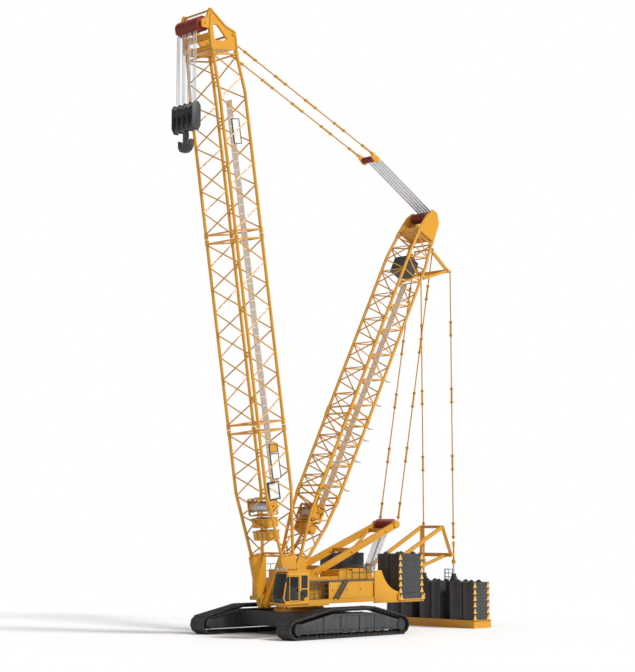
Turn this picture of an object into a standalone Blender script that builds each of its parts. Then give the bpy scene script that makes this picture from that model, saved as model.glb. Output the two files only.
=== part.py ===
"""Crawler crane with a lattice boom, a derrick mast and a ballast tray, as a 1:2 scale model.

Sizes are written as the full-size machine's and multiplied by SCALE.
+X is forward to the boom, +Y is the cab side, +Z is up and the ground is Z = 0.
"""
import math

import bmesh
import bpy
from mathutils import Vector

SCALE = 0.5
X_SHIFT = 2.15          # full-size metres from the slewing axis to the middle of the length
GAP = 0.0006            # full-size gap between resting pieces

# Main lines of the machine
PIVOT_X = 2.24          # common foot axis of the boom and the mast
PIVOT_Z = 2.20
BOOM_ANGLE = 80.86
BOOM_HALF_W = 1.61
BOOM_HALF_D = 1.195
MAST_ANGLE = 117.5
MAST_HALF_W = 1.20
MAST_HALF_D = 1.00
CHORD = 0.11            # half the side of a chord
TRACK_Y = 4.60
TRACK_W = 1.50
A_FOOT = (0.60, 4.00)
A_HEAD = (-8.95, 7.75)
SHEAVE_AXIS = (10.40, 42.55)
STAY_TOP = (7.89, 42.20)
MAST_TOP = (-13.10, 32.00)
BLOCK_AT = (-7.30, 35.80)
SPREADER = (-14.30, 27.60)
ROPE_SETS = 5
HOIST_TRAVEL = 19.0
HOIST_SETS = 4
ROPE_TRAVEL = 27.4
ROD_Y = 1.57

PAINT = {
    "yellow": ((0.78, 0.42, 0.02), 0.42, 0.0),
    "ochre": ((0.62, 0.33, 0.03), 0.5, 0.0),
    "charcoal": ((0.035, 0.037, 0.042), 0.6, 0.0),
    "track": ((0.03, 0.03, 0.032), 0.7, 0.3),
    "red": ((0.22, 0.03, 0.03), 0.5, 0.1),
    "rope": ((0.55, 0.56, 0.58), 0.4, 0.8),
    "grey": ((0.35, 0.36, 0.37), 0.6, 0.1),
    "tan": ((0.58, 0.5, 0.38), 0.7, 0.0),
    "white": ((0.8, 0.8, 0.78), 0.4, 0.0),
    "glass": ((0.02, 0.025, 0.03), 0.05, 0.0),
    "steel": ((0.6, 0.6, 0.62), 0.3, 0.9),
    "seat": ((0.05, 0.05, 0.055), 0.8, 0.0),
}

for old in list(bpy.data.objects):
    bpy.data.objects.remove(old, do_unlink=True)


def world(x, y, z):
    return Vector(((x + X_SHIFT) * SCALE, y * SCALE, z * SCALE))


def material(name, paint):
    colour, rough, metal = PAINT[paint]
    mat = bpy.data.materials.new(name)
    mat.use_nodes = True
    bsdf = mat.node_tree.nodes["Principled BSDF"]
    bsdf.inputs["Base Color"].default_value = (*colour, 1.0)
    bsdf.inputs["Roughness"].default_value = rough
    bsdf.inputs["Metallic"].default_value = metal
    return mat


def finish(name, bm, paint, origin=None, smooth=False):
    """Turn a bmesh in world coordinates into an object whose origin is on its joint's axis."""
    bmesh.ops.recalc_face_normals(bm, faces=bm.faces)
    at = world(*origin) if origin else Vector((0.0, 0.0, 0.0))
    bmesh.ops.translate(bm, verts=bm.verts, vec=-at)
    mesh = bpy.data.meshes.new(name)
    bm.to_mesh(mesh)
    bm.free()
    mesh.materials.append(material(name, paint))
    obj = bpy.data.objects.new(name, mesh)
    obj.location = at
    bpy.context.scene.collection.objects.link(obj)
    if smooth:
        mesh.shade_smooth()
        mesh.set_sharp_from_angle(angle=math.radians(35))
    return obj


def prism_bm(outline, lo, hi, plane):
    """An outline in one plane, pushed from lo to hi along the third axis."""
    place = {
        "xz": lambda a, b, c: world(a, c, b),
        "xy": lambda a, b, c: world(a, b, c),
        "yz": lambda a, b, c: world(c, a, b),
    }[plane]
    bm = bmesh.new()
    low = [bm.verts.new(place(a, b, lo)) for a, b in outline]
    base = bm.faces.new(low)
    pushed = bmesh.ops.extrude_face_region(bm, geom=[base])
    step = place(0, 0, hi) - place(0, 0, lo)
    moved = [v for v in pushed["geom"] if isinstance(v, bmesh.types.BMVert)]
    bmesh.ops.translate(bm, verts=moved, vec=step)
    return bm


def prism(name, outline, lo, hi, plane, paint, origin=None):
    return finish(name, prism_bm(outline, lo, hi, plane), paint, origin)


def rect(a0, a1, b0, b1):
    return [(a0, b0), (a1, b0), (a1, b1), (a0, b1)]


def box(name, xs, ys, zs, paint, origin=None):
    return prism(name, rect(*xs, *ys), zs[0], zs[1], "xy", paint, origin)


def beam_bm(start, end, width, depth):
    """A square beam between two points."""
    a = world(*start)
    b = world(*end)
    along = (b - a).normalized()
    side = along.cross(Vector((0, 0, 1)))
    if side.length < 0.05:
        side = Vector((0, 1, 0))
    side.normalize()
    up = side.cross(along).normalized()
    bm = bmesh.new()
    ring = []
    for sa, sb in ((1, 1), (-1, 1), (-1, -1), (1, -1)):
        off = side * (sa * width * SCALE / 2) + up * (sb * depth * SCALE / 2)
        ring.append(bm.verts.new(a + off))
    base = bm.faces.new(ring)
    pushed = bmesh.ops.extrude_face_region(bm, geom=[base])
    moved = [v for v in pushed["geom"] if isinstance(v, bmesh.types.BMVert)]
    bmesh.ops.translate(bm, verts=moved, vec=b - a)
    return bm


def turned_bm(centre, profile, axis, segments=20):
    """A closed profile of (radius, along) pairs, turned about an axis through centre."""
    base = world(*centre)
    dirs = {"x": ((0, 1, 0), (0, 0, 1), (1, 0, 0)),
            "y": ((1, 0, 0), (0, 0, 1), (0, 1, 0)),
            "z": ((1, 0, 0), (0, 1, 0), (0, 0, 1))}[axis]
    u, v, w = (Vector(d) for d in dirs)
    bm = bmesh.new()
    rings = []
    for radius, along in profile:
        ring = []
        for i in range(segments):
            t = 2 * math.pi * i / segments
            at = base + (u * math.cos(t) + v * math.sin(t)) * radius * SCALE + w * along * SCALE
            ring.append(bm.verts.new(at))
        rings.append(ring)
    for low, high in zip(rings, rings[1:]):
        for i in range(segments):
            j = (i + 1) % segments
            bm.faces.new((low[i], low[j], high[j], high[i]))
    bm.faces.new(rings[0])
    bm.faces.new(rings[-1])
    return bm


def turned(name, centre, profile, axis, paint, origin=None, segments=20):
    bm = turned_bm(centre, profile, axis, segments)
    return finish(name, bm, paint, origin, smooth=True)


def joined(name, shapes, paint, origin=None, cuts=()):
    """One solid from overlapping shapes, with the cutters taken away."""
    body = finish(name, shapes[0], paint, origin)
    tools = [(bm, "UNION") for bm in shapes[1:]] + [(bm, "DIFFERENCE") for bm in cuts]
    for i, (bm, kind) in enumerate(tools):
        tool = finish(f"{name}_tool_{i}", bm, paint)
        tool.hide_render = True
        tool.display_type = "WIRE"
        mod = body.modifiers.new(f"step_{i}", "BOOLEAN")
        mod.operation = kind
        mod.object = tool
    bpy.context.view_layer.update()
    graph = bpy.context.evaluated_depsgraph_get()
    mesh = bpy.data.meshes.new_from_object(body.evaluated_get(graph))
    body.modifiers.clear()
    body.data = mesh
    for tool in [o for o in bpy.data.objects if o.name.startswith(f"{name}_tool_")]:
        bpy.data.objects.remove(tool, do_unlink=True)
    return body


def axis_frame(angle):
    t = math.radians(angle)
    along = (math.cos(t), math.sin(t))
    front = (math.sin(t), -math.cos(t))
    return along, front


def on_arm(angle, s, n):
    """The (x, z) point s along an arm's axis and n in front of it."""
    along, front = axis_frame(angle)
    return (PIVOT_X + along[0] * s + front[0] * n, PIVOT_Z + along[1] * s + front[1] * n)


def between(table, s):
    for a, b in zip(table, table[1:]):
        if s <= b[0] + 1e-9:
            t = (s - a[0]) / (b[0] - a[0])
            return [p + (q - p) * t for p, q in zip(a[1:], b[1:])]
    return list(table[-1][1:])


# Corners of a chord's square ring, and which two corners face each neighbour
CORNERS = ((1, 1), (-1, 1), (-1, -1), (1, -1))
CHORDS = ((1, 1), (-1, 1), (-1, -1), (1, -1))
FACES = ((0, (1, 2), 1, (0, 3)), (1, (3, 2), 2, (0, 1)), (2, (0, 3), 3, (1, 2)), (3, (0, 1), 0, (3, 2)))
SIDES = ((3, 0), (0, 1), (1, 2), (2, 3))


def lattice_bm(angle, table, bays, port=0.16, half=CHORD, skip=()):
    """Four chords joined by zigzag lacing, as one closed solid.

    table: rows of (s, front offset, rear offset, half width); bays: number of zigzag bays.
    Each lacing strut bridges a patch of one chord to a patch of the next one.
    """
    s0 = table[0][0] + GAP
    s1 = table[-1][0] - GAP
    first = s0 + port * 2.4
    last = s1 - port * 2.4
    nodes = [first + (last - first) * i / bays for i in range(bays + 1)]
    breaks = []
    for k in range(4):
        marks = {round(s0, 5), round(s0 + port, 5), round(s1 - port, 5), round(s1, 5)}
        for i, s in enumerate(nodes):
            marks.update((round(s - port, 5), round(s, 5), round(s + port, 5)))
        breaks.append(sorted(marks))
    bm = bmesh.new()
    rings = []
    for k, (fn, fy) in enumerate(CHORDS):
        rows = []
        for s in breaks[k]:
            front, rear, width = between(table, s)
            n = front if fn > 0 else rear
            row = []
            for cn, cy in CORNERS:
                x, z = on_arm(angle, s, n + cn * half)
                row.append(bm.verts.new(world(x, fy * width + cy * half, z)))
            rows.append(row)
        rings.append(rows)
    struts = []
    for f, (a, ca, b, cb) in enumerate(FACES):
        if f not in skip:
            struts.append((a, 0, ca, b, 0, cb))
        struts.append((a, len(breaks[a]) - 2, ca, b, len(breaks[b]) - 2, cb))
        for i in range(bays):
            low, clow, high, chigh = (a, ca, b, cb) if i % 2 == 0 else (b, cb, a, ca)
            at_low = breaks[low].index(round(nodes[i], 5))
            at_high = breaks[high].index(round(nodes[i + 1] - port, 5))
            struts.append((low, at_low, clow, high, at_high, chigh))
    used = set()
    for a, ia, ca, b, ib, cb in struts:
        used.add((a, ia, frozenset(ca)))
        used.add((b, ib, frozenset(cb)))
        ra, rb = rings[a], rings[b]
        pa = (ra[ia][ca[0]], ra[ia][ca[1]], ra[ia + 1][ca[1]], ra[ia + 1][ca[0]])
        pb = (rb[ib][cb[0]], rb[ib][cb[1]], rb[ib + 1][cb[1]], rb[ib + 1][cb[0]])
        for i in range(4):
            j = (i + 1) % 4
            bm.faces.new((pa[i], pa[j], pb[j], pb[i]))
    for k in range(4):
        rows = rings[k]
        for i in range(len(rows) - 1):
            for c, d in SIDES:
                if (k, i, frozenset((c, d))) not in used:
                    bm.faces.new((rows[i][c], rows[i][d], rows[i + 1][d], rows[i + 1][c]))
        bm.faces.new(rows[0])
        bm.faces.new(rows[-1])
    bmesh.ops.recalc_face_normals(bm, faces=bm.faces)
    return bm


def lattice(name, angle, table, bays, paint):
    return finish(name, lattice_bm(angle, table, bays), paint, (PIVOT_X, 0, PIVOT_Z))


# ---- Undercarriage --------------------------------------------------------------------------
TRACK_OUT = [(5.83, 0.62), (5.62, 0.22), (5.16, 0.0), (-5.16, 0.0), (-5.62, 0.22), (-5.83, 0.62),
             (-5.72, 1.05), (-5.36, 1.35), (-2.40, 2.06), (1.80, 2.06), (5.36, 1.35), (5.72, 1.05)]
TRACK_IN = [(5.50, 0.68), (5.38, 0.42), (5.10, 0.30), (-5.10, 0.30), (-5.38, 0.42), (-5.50, 0.68),
            (-5.42, 0.90), (-5.24, 1.05), (-2.34, 1.74), (1.74, 1.74), (5.24, 1.05), (5.42, 0.90)]
FRAME_SIDE = [(4.80, 0.46), (-4.80, 0.46), (-4.80, 1.02), (-2.20, 1.64), (1.60, 1.64), (4.80, 1.02)]


def loop_bm(outer, inner, y0, y1):
    bm = bmesh.new()
    rows = []
    for outline, y in ((outer, y0), (outer, y1), (inner, y1), (inner, y0)):
        rows.append([bm.verts.new(world(x, y, z)) for x, z in outline])
    for a, b in ((0, 1), (1, 2), (2, 3), (3, 0)):
        for i in range(len(outer)):
            j = (i + 1) % len(outer)
            bm.faces.new((rows[a][i], rows[a][j], rows[b][j], rows[b][i]))
    return bm


for side, sy in (("left", 1), ("right", -1)):
    y_out = sy * (TRACK_Y + TRACK_W / 2)
    y_in = sy * (TRACK_Y - TRACK_W / 2)
    finish(f"track_{side}", loop_bm(TRACK_OUT, TRACK_IN, y_in, y_out), "track")
    wheel = ((0.05, -0.62), (0.2, -0.62), (0.36, -0.5), (0.36, 0.5), (0.2, 0.62), (0.05, 0.62))
    wheels = [turned_bm((x, sy * TRACK_Y, 0.72), wheel, "y", 16) for x in (-4.96, 4.96)]
    web = prism_bm(FRAME_SIDE, sy * (TRACK_Y - 0.55), sy * (TRACK_Y + 0.55), "xz")
    joined(f"crawler_frame_{side}", [web] + wheels, "charcoal")


CAR_BODY = [(2.3, -1.7), (2.3, -4.04), (1.3, -4.04), (1.0, -2.2), (-1.0, -2.2), (-1.3, -4.04), (-2.3, -4.04),
            (-2.3, -1.7), (-2.3, 1.7), (-2.3, 4.04), (-1.3, 4.04), (-1.0, 2.2), (1.0, 2.2), (1.3, 4.04),
            (2.3, 4.04), (2.3, 1.7)]
prism("car_body", CAR_BODY, 0.62, 1.60, "xy", "yellow")
turned("slew_ring", (0, 0, 0), ((1.0, 1.6 + GAP), (1.9, 1.6 + GAP), (1.9, 1.84), (1.7, 1.9),
                                (1.7, 2.2 - 3 * GAP), (1.0, 2.2 - 3 * GAP)), "z", "charcoal", (0, 0, 0), 32)

# ---- Slewing platform -----------------------------------------------------------------------
PLATFORM = [(1.25, 2.20), (1.25, 2.55), (0.62, 3.20), (-5.80, 3.20), (-8.20, 3.20), (-8.20, 2.75), (-5.6, 2.20)]
ear = prism_bm([(1.2, 2.2), (1.2, 3.0), (2.1, 3.0), (2.62, 2.6), (2.62, 1.95), (2.2, 1.86)], 1.20, 1.38, "xz")
ear_r = prism_bm([(1.2, 2.2), (1.2, 3.0), (2.1, 3.0), (2.62, 2.6), (2.62, 1.95), (2.2, 1.86)], -1.38, -1.20, "xz")
horn = prism_bm([(-0.3, 3.1), (-0.3, 3.8), (0.35, 4.3), (0.85, 4.3), (1.1, 3.9), (1.1, 3.05)], 1.46, 1.60, "xz")
horn_r = prism_bm([(-0.3, 3.1), (-0.3, 3.8), (0.35, 4.3), (0.85, 4.3), (1.1, 3.9), (1.1, 3.05)], -1.60, -1.46, "xz")
DECK_LEFT = [(-3.60, -0.1), (-3.60, 4.10), (2.90, 4.10), (2.90, 1.95), (1.20, 1.95), (1.20, -0.1)]
CAB_REST = [(1.0, 3.05), (1.0, 4.10), (4.85, 4.10), (4.85, 3.05)]
DECK_RIGHT = [(-3.60, -4.10), (-3.60, 0.1), (1.20, 0.1), (1.20, -4.10)]
BASE_PLAN = [(-8.62, -4.25), (-5.80, -4.25), (-5.80, 4.25), (-8.62, 4.25)]
decks = [prism_bm(DECK_LEFT, 2.32, 2.62, "xy"), prism_bm(DECK_RIGHT, 2.32, 2.62, "xy"),
         prism_bm(CAB_REST, 2.20, 2.38 - GAP, "xy")]
base = prism_bm(BASE_PLAN, 2.36, 2.79 - GAP, "xy")
pin = turned_bm((PIVOT_X, 0, PIVOT_Z), ((0.12, -1.82), (0.12, 1.82)), "y", 16)
joined("slewing_platform", [prism_bm(PLATFORM, -1.62, 1.62, "xz"), ear, ear_r, horn, horn_r, base, pin] + decks, "yellow")
HOUSE = [(-3.55, 2.62 + GAP), (1.00, 2.62 + GAP), (1.00, 3.72), (0.70, 3.90), (-0.60, 3.90), (-0.60, 4.50),
         (-3.40, 4.50), (-3.40, 3.90), (-3.55, 3.90)]
prism("machinery_house_left", HOUSE, 1.62 + 2 * GAP, 3.45, "xz", "yellow")
prism("machinery_house_right", HOUSE, -4.05, -1.62 - 2 * GAP, "xz", "yellow")


def railing(name, xs, y, z0, z1, posts, paint):
    shapes = [beam_bm((xs[0], y, z1), (xs[1], y, z1), 0.06, 0.06)]
    shapes.append(beam_bm((xs[0], y, (z0 + z1) / 2), (xs[1], y, (z0 + z1) / 2), 0.05, 0.05))
    shapes.append(beam_bm((xs[0], y, z0 + 0.06), (xs[1], y, z0 + 0.06), 0.05, 0.1))
    for i in range(posts):
        x = xs[0] + 0.03 + (xs[1] - xs[0] - 0.06) * i / (posts - 1)
        shapes.append(beam_bm((x, y, z0), (x, y, z1 + 0.03), 0.06, 0.06))
    return joined(name, shapes, paint)


railing("railing_walkway", (1.00, 2.87), 4.05, 2.62 + GAP, 3.68, 4, "charcoal")

# Cab: hollow shell with window openings, door, panes and seat
CAB_X, CAB_Z = -0.05, -0.28


def cab(points):
    """Side outlines of the cab, moved to its place on the deck."""
    return [(x + CAB_X, z + CAB_Z) for x, z in points]


CAB_OUT = cab([(3.05, 2.66), (5.20, 2.66), (5.46, 3.10), (5.10, 4.78), (4.90, 4.88), (3.05, 4.88)])
CAB_IN = cab([(3.11, 2.74), (5.15, 2.74), (5.39, 3.12), (5.04, 4.74), (4.86, 4.81), (3.11, 4.81)])
CAB_Y = (3.00, 4.20)
door_hole = cab([(3.95, 2.80), (4.90, 2.80), (4.90, 4.60), (3.95, 4.60)])
quarter = cab([(3.20, 3.15), (3.80, 2.95), (3.80, 4.60), (3.20, 4.60)])
right_win = cab([(3.20, 3.40), (4.90, 3.40), (4.86, 4.60), (3.20, 4.60)])
cuts = [prism_bm(CAB_IN, CAB_Y[0] + 0.06, CAB_Y[1] - 0.06, "xz"),
        prism_bm(rect(3.14, 4.06, 2.98 + CAB_Z, 4.66 + CAB_Z), 4.90, 5.65, "yz"),
        prism_bm(door_hole, 4.10, 4.30, "xz"),
        prism_bm(quarter, 4.10, 4.30, "xz"),
        prism_bm(right_win, 2.90, 3.10, "xz")]
joined("cab_shell", [prism_bm(CAB_OUT, CAB_Y[0], CAB_Y[1], "xz")], "yellow", None, cuts)
g = GAP * 2
leaf = cab([(3.95 + 0.03, 2.83), (4.87, 2.83), (4.87, 4.57), (3.95 + 0.03, 4.57)])
pane = cab([(4.06, 3.02), (4.80, 3.02), (4.80, 4.50), (4.06, 4.50)])
HINGE = (3.97 + CAB_X, 4.225, 2.83 + CAB_Z)
joined("cab_door", [prism_bm(leaf, 4.145, 4.195, "xz")], "yellow", HINGE, [prism_bm(pane, 4.0, 4.3, "xz")])
small = cab([(4.06 + g, 3.02 + g), (4.80 - g, 3.02 + g), (4.80 - g, 4.50 - g), (4.06 + g, 4.50 - g)])
prism("cab_door_glass", small, 4.155, 4.185, "xz", "glass", HINGE)
q = cab([(3.20 + g, 3.15 + g), (3.80 - g, 2.95 + 2 * g), (3.80 - g, 4.60 - g), (3.20 + g, 4.60 - g)])
prism("cab_glass_left", q, 4.155, 4.185, "xz", "glass")
r = cab([(3.20 + g, 3.40 + g), (4.90 - 2 * g, 3.40 + g), (4.86 - 2 * g, 4.60 - g), (3.20 + g, 4.60 - g)])
prism("cab_glass_right", r, 3.015, 3.045, "xz", "glass")
prism("cab_glass_front", cab([(5.475, 2.99), (5.505, 2.99), (5.165, 4.655), (5.135, 4.655)]),
      3.15, 4.05, "xz", "glass")
SEAT = cab([(3.50, 2.74 + GAP), (4.05, 2.74 + GAP), (4.15, 3.22), (3.72, 3.26), (3.58, 3.98), (3.42, 3.98),
            (3.50, 3.2)])
prism("operator_seat", SEAT, 3.35, 3.85, "xz", "seat")

# ---- Main counterweight ---------------------------------------------------------------------
CW_X = (-8.52, -5.93)
CW_Z0 = 2.79
SLAB = 0.4787
SLABS = 6


def stack_outline(y_in, y_out, z0, slabs, slab, groove=0.05):
    """Side view of a pile of slabs: both ends are notched at each joint."""
    turn = 1 if y_out > y_in else -1
    outer = [(y_out, z0)]
    inner = [(y_in, z0)]
    for i in range(1, slabs):
        z = z0 + i * slab
        for notch, column, sign in ((outer, y_out, -turn), (inner, y_in, turn)):
            notch.append((column, z - 0.02))
            notch.append((column + sign * groove, z))
            notch.append((column, z + 0.02))
    outer.append((y_out, z0 + slabs * slab))
    inner.append((y_in, z0 + slabs * slab))
    return outer + inner[::-1]


for side, sy in (("left", 1), ("right", -1)):
    outline = stack_outline(sy * 1.80, sy * 4.20, CW_Z0, SLABS, SLAB)
    prism(f"counterweight_{side}", outline, CW_X[0], CW_X[1], "yz", "charcoal")

# ---- Push-out frame and superlift tray ------------------------------------------------------
frame_shapes = []
for sy in (1, -1):
    frame_shapes.append(beam_bm((-8.0, sy * 0.95, 4.6), (-14.0, sy * 1.10, 7.60), 0.20, 0.26))
    frame_shapes.append(beam_bm((-14.0, sy * 1.10, 7.60), (-14.42, sy * 1.58, 5.45), 0.22, 0.26))
    frame_shapes.append(beam_bm((-8.0, sy * 0.95, 3.5), (-14.42, sy * 1.10, 5.45), 0.20, 0.22))
frame_shapes.append(beam_bm((-14.42, -1.75, 5.45), (-14.42, 1.75, 5.45), 0.28, 0.28))
frame_shapes.append(beam_bm((-14.0, -1.20, 7.60), (-14.0, 1.20, 7.60), 0.22, 0.22))
frame_shapes.append(prism_bm([(-8.14, 2.9), (-7.9, 2.9), (-7.9, 4.9), (-8.14, 4.9)], -1.25, 1.25, "xz"))
frame_shapes.append(prism_bm([(-8.4, 3.2 + GAP), (-7.2, 3.2 + GAP), (-7.9, 4.9), (-8.14, 4.9)], -1.25, -0.85, "xz"))
frame_shapes.append(prism_bm([(-8.4, 3.2 + GAP), (-7.2, 3.2 + GAP), (-7.9, 4.9), (-8.14, 4.9)], 0.85, 1.25, "xz"))
frame_shapes = frame_shapes[:8] + frame_shapes[9:]
joined("push_out_frame", frame_shapes, "yellow")
TRAY_Z = 0.564
TRAY_SLAB = (3.447 - TRAY_Z) / 6
box("superlift_tray", (-15.49, -13.54), (-4.655, 4.655), (0.0, TRAY_Z - GAP), "yellow")
prism("superlift_stack_middle", stack_outline(-1.20, 1.20, TRAY_Z, 6, TRAY_SLAB), -15.45, -13.60, "yz", "charcoal")
for side, sy in (("left", 1), ("right", -1)):
    outline = stack_outline(sy * 1.95, sy * 4.60, TRAY_Z, 6, TRAY_SLAB)
    prism(f"superlift_stack_{side}", outline, -15.45, -13.60, "yz", "charcoal")
    turned(f"superlift_cylinder_{side}", (-14.75, sy * ROD_Y, 0),
           ((0.05, TRAY_Z), (0.30, TRAY_Z), (0.30, 2.9), (0.22, 3.6), (0.17, 3.7), (0.17, 4.0), (0.08, 4.0),
            (0.08, 4.78), (0.14, 4.82), (0.14, 5.0), (0.07, 5.05), (0.07, 6.50), (0.05, 6.50)),
           "z", "charcoal", None, 16)

# ---- Mast -----------------------------------------------------------------------------------
FOOT = (PIVOT_X, 0, PIVOT_Z)


def foot_leg_bm(angle, y0, y1, s_top, n_front, n_rear, radius):
    """A leg plate that tapers from two chords down to a round foot."""
    outline = [on_arm(angle, s_top, n_front), on_arm(angle, s_top, n_rear)]
    for i in range(7):
        t = math.radians(180 + 30 * i)
        outline.append(on_arm(angle, math.sin(t) * radius, math.cos(t) * radius))
    return prism_bm(outline, y0, y1, "xz")


def arm_foot(name, angle, table, bays, leg, y_in, y_out):
    """The lattice's foot section with its two leg plates and their pin holes."""
    shapes = [lattice_bm(angle, table, bays)]
    holes = []
    for sy in (1, -1):
        ys = sorted((sy * y_in, sy * y_out))
        shapes.append(foot_leg_bm(angle, ys[0], ys[1], *leg))
        holes.append(turned_bm((PIVOT_X, sy * (y_in + y_out) / 2, PIVOT_Z), ((0.14, -0.3), (0.14, 0.3)), "y", 16))
    return joined(name, shapes, "yellow", FOOT, holes)


arm_foot("mast_foot", MAST_ANGLE, [(3.4, 0.30, -0.30, 1.00), (6.6, 0.9, -0.9, 1.06), (8.68, 1.0, -1.0, 1.14)], 4,
         (3.6, 0.50, -0.50, 0.34), 0.86, 1.12)
lattice("mast_lower", MAST_ANGLE, [(8.68, 1.0, -1.0, 1.14), (15.32, 1.0, -1.0, 1.22)], 7, "yellow")
MAST_UP = [(15.32, 1.0, -1.0, 1.22), (29.2, 1.0, -1.0, 1.22), (31.6, 0.80, -0.80, 1.10)]
lattice("mast_upper", MAST_ANGLE, MAST_UP, 14, "yellow")


def arm_plate(angle, points):
    return [on_arm(angle, s, n) for s, n in points]


HEAD_PLATE = arm_plate(MAST_ANGLE, ((31.6 + GAP, 0.95), (33.2, 0.62), (33.9, 0.25), (33.9, -0.25), (33.3, -0.8),
                                    (31.6 + GAP, -0.95)))
cheeks = [prism_bm(HEAD_PLATE, 0.98, 1.16, "xz"), prism_bm(HEAD_PLATE, -1.16, -0.98, "xz")]
floor = arm_plate(MAST_ANGLE, ((31.66, 0.86), (31.95, 0.82), (31.95, -0.82), (31.66, -0.86)))
rear_web = arm_plate(MAST_ANGLE, ((31.8, -0.55), (33.0, -0.55), (33.0, -0.70), (31.8, -0.78)))
joined("mast_head", [prism_bm(floor, -1.1, 1.1, "xz")] + cheeks + [prism_bm(rear_web, -1.1, 1.1, "xz")],
       "yellow", FOOT)
MAST_NEST = on_arm(MAST_ANGLE, 33.45, 0.0)


def nest_profile(half, sheaves, outer, inner, hub=0.1):
    """Side by side sheaves on one axle, as a grooved roll."""
    rows = [(hub, -half)]
    width = 2 * half / sheaves
    for i in range(sheaves):
        y = -half + i * width
        rows += [(outer, y), (inner, y + width * 0.5), (outer, y + width * 0.98)]
    rows.append((hub, half))
    return tuple(rows)


turned("mast_sheaves", (MAST_NEST[0], 0, MAST_NEST[1]), nest_profile(0.92, 5, 0.42, 0.34), "y", "red",
       (MAST_NEST[0], 0, MAST_NEST[1]), 20)
spreader = []
for sy in (1, -1):
    spreader.append(beam_bm((SPREADER[0], sy * ROD_Y, SPREADER[1]),
                            (on_arm(MAST_ANGLE, 30.9, -1.14)[0], sy * 1.1, on_arm(MAST_ANGLE, 30.9, -1.14)[1]), 0.2, 0.2))
    spreader.append(beam_bm((SPREADER[0], sy * ROD_Y, SPREADER[1]),
                            (on_arm(MAST_ANGLE, 28.4, -1.28)[0], sy * 1.15, on_arm(MAST_ANGLE, 28.4, -1.28)[1]), 0.2, 0.2))
spreader.append(beam_bm((SPREADER[0], -1.72, SPREADER[1]), (SPREADER[0], 1.72, SPREADER[1]), 0.24, 0.24))
spreader[0], spreader[-1] = spreader[-1], spreader[0]
joined("mast_spreader", spreader, "yellow", FOOT)
box_at = arm_plate(MAST_ANGLE, ((28.1, 0.6), (29.4, 0.6), (29.4, -0.6), (28.1, -0.6)))
prism("mast_winch_box", box_at, -0.75, 0.75, "xz", "charcoal", FOOT)
top = on_arm(MAST_ANGLE, 31.2, -1.28)
bars = [beam_bm((-9.25, sy * 0.95, 8.40), (top[0], sy * 0.95, top[1]), 0.10, 0.14) for sy in (1, -1)]
yoke = turned_bm((top[0], 0, top[1]), ((0.09, -1.05), (0.09, 1.05)), "y", 12)
joined("mast_pendants", [yoke] + bars, "steel", FOOT)
WALK = arm_plate(MAST_ANGLE, ((7.0, -0.62), (27.6, -0.62), (27.6, -0.70), (7.0, -0.70)))
prism("mast_walkway", WALK, -0.3, 0.3, "xz", "tan", FOOT)

# ---- Superlift rods hang from the spreader --------------------------------------------------
rod_top = (SPREADER[0] - 0.32, SPREADER[1] - 0.05)
rods = [beam_bm((-14.75, sy * ROD_Y, 6.62), (rod_top[0], sy * ROD_Y, rod_top[1]), 0.14, 0.14) for sy in (1, -1)]
bar = turned_bm((rod_top[0], 0, rod_top[1]), ((0.10, -1.72), (0.10, 1.72)), "y", 12)
joined("superlift_rods", [bar] + rods, "steel", (rod_top[0], 0, rod_top[1]))

# ---- A-frame --------------------------------------------------------------------------------
A_ORIGIN = (A_FOOT[0], 0, A_FOOT[1])
a_shapes = []
for sy in (1, -1):
    a_shapes.append(beam_bm((A_FOOT[0] + 0.25, sy * 1.30, A_FOOT[1] - 0.1), (A_HEAD[0] + 0.1, sy * 0.98, A_HEAD[1]), 0.26, 0.46))
a_shapes.insert(0, beam_bm((A_HEAD[0] + 0.9, -1.15, A_HEAD[1] - 0.4), (A_HEAD[0] + 0.9, 1.15, A_HEAD[1] - 0.4), 0.3, 0.3))
a_shapes.append(beam_bm((-4.4, -1.25, 5.93), (-4.4, 1.25, 5.93), 0.3, 0.3))
a_shapes.append(beam_bm((-1.2, -1.35, 4.70), (-1.2, 1.35, 4.70), 0.3, 0.3))
a_shapes.append(beam_bm((-4.3, 0.98, 5.93), (-7.9, -0.9, 7.33), 0.16, 0.16))
joined("a_frame", a_shapes, "yellow", A_ORIGIN)
NEST_A = (A_HEAD[0] + 0.1, 0, A_HEAD[1] + 0.05)
turned("a_frame_sheaves", NEST_A, nest_profile(0.82, 4, 0.42, 0.34), "y", "red", NEST_A, 20)
ROPE_A = ((-8.55, 7.35), (-7.0, 4.25))
for name, ys, origin in (("gantry_ropes_moving", (-0.70, 0.15), A_ORIGIN), ("gantry_ropes_fixed", (-0.20, 0.65), None)):
    shapes = []
    for y in ys:
        shapes.append(beam_bm((ROPE_A[0][0], y, ROPE_A[0][1]), (ROPE_A[1][0], y, ROPE_A[1][1]), 0.06, 0.06))
    mid = 0.2 if origin else 0.8
    mx = ROPE_A[0][0] + (ROPE_A[1][0] - ROPE_A[0][0]) * mid
    mz = ROPE_A[0][1] + (ROPE_A[1][1] - ROPE_A[0][1]) * mid
    shapes = [beam_bm((ROPE_A[0][0], (ys[0] + ys[1]) / 2, ROPE_A[0][1]),
                      (ROPE_A[1][0], (ys[0] + ys[1]) / 2, ROPE_A[1][1]), 0.06, 0.06)]
    finish(name, shapes[0], "rope", origin)

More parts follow.
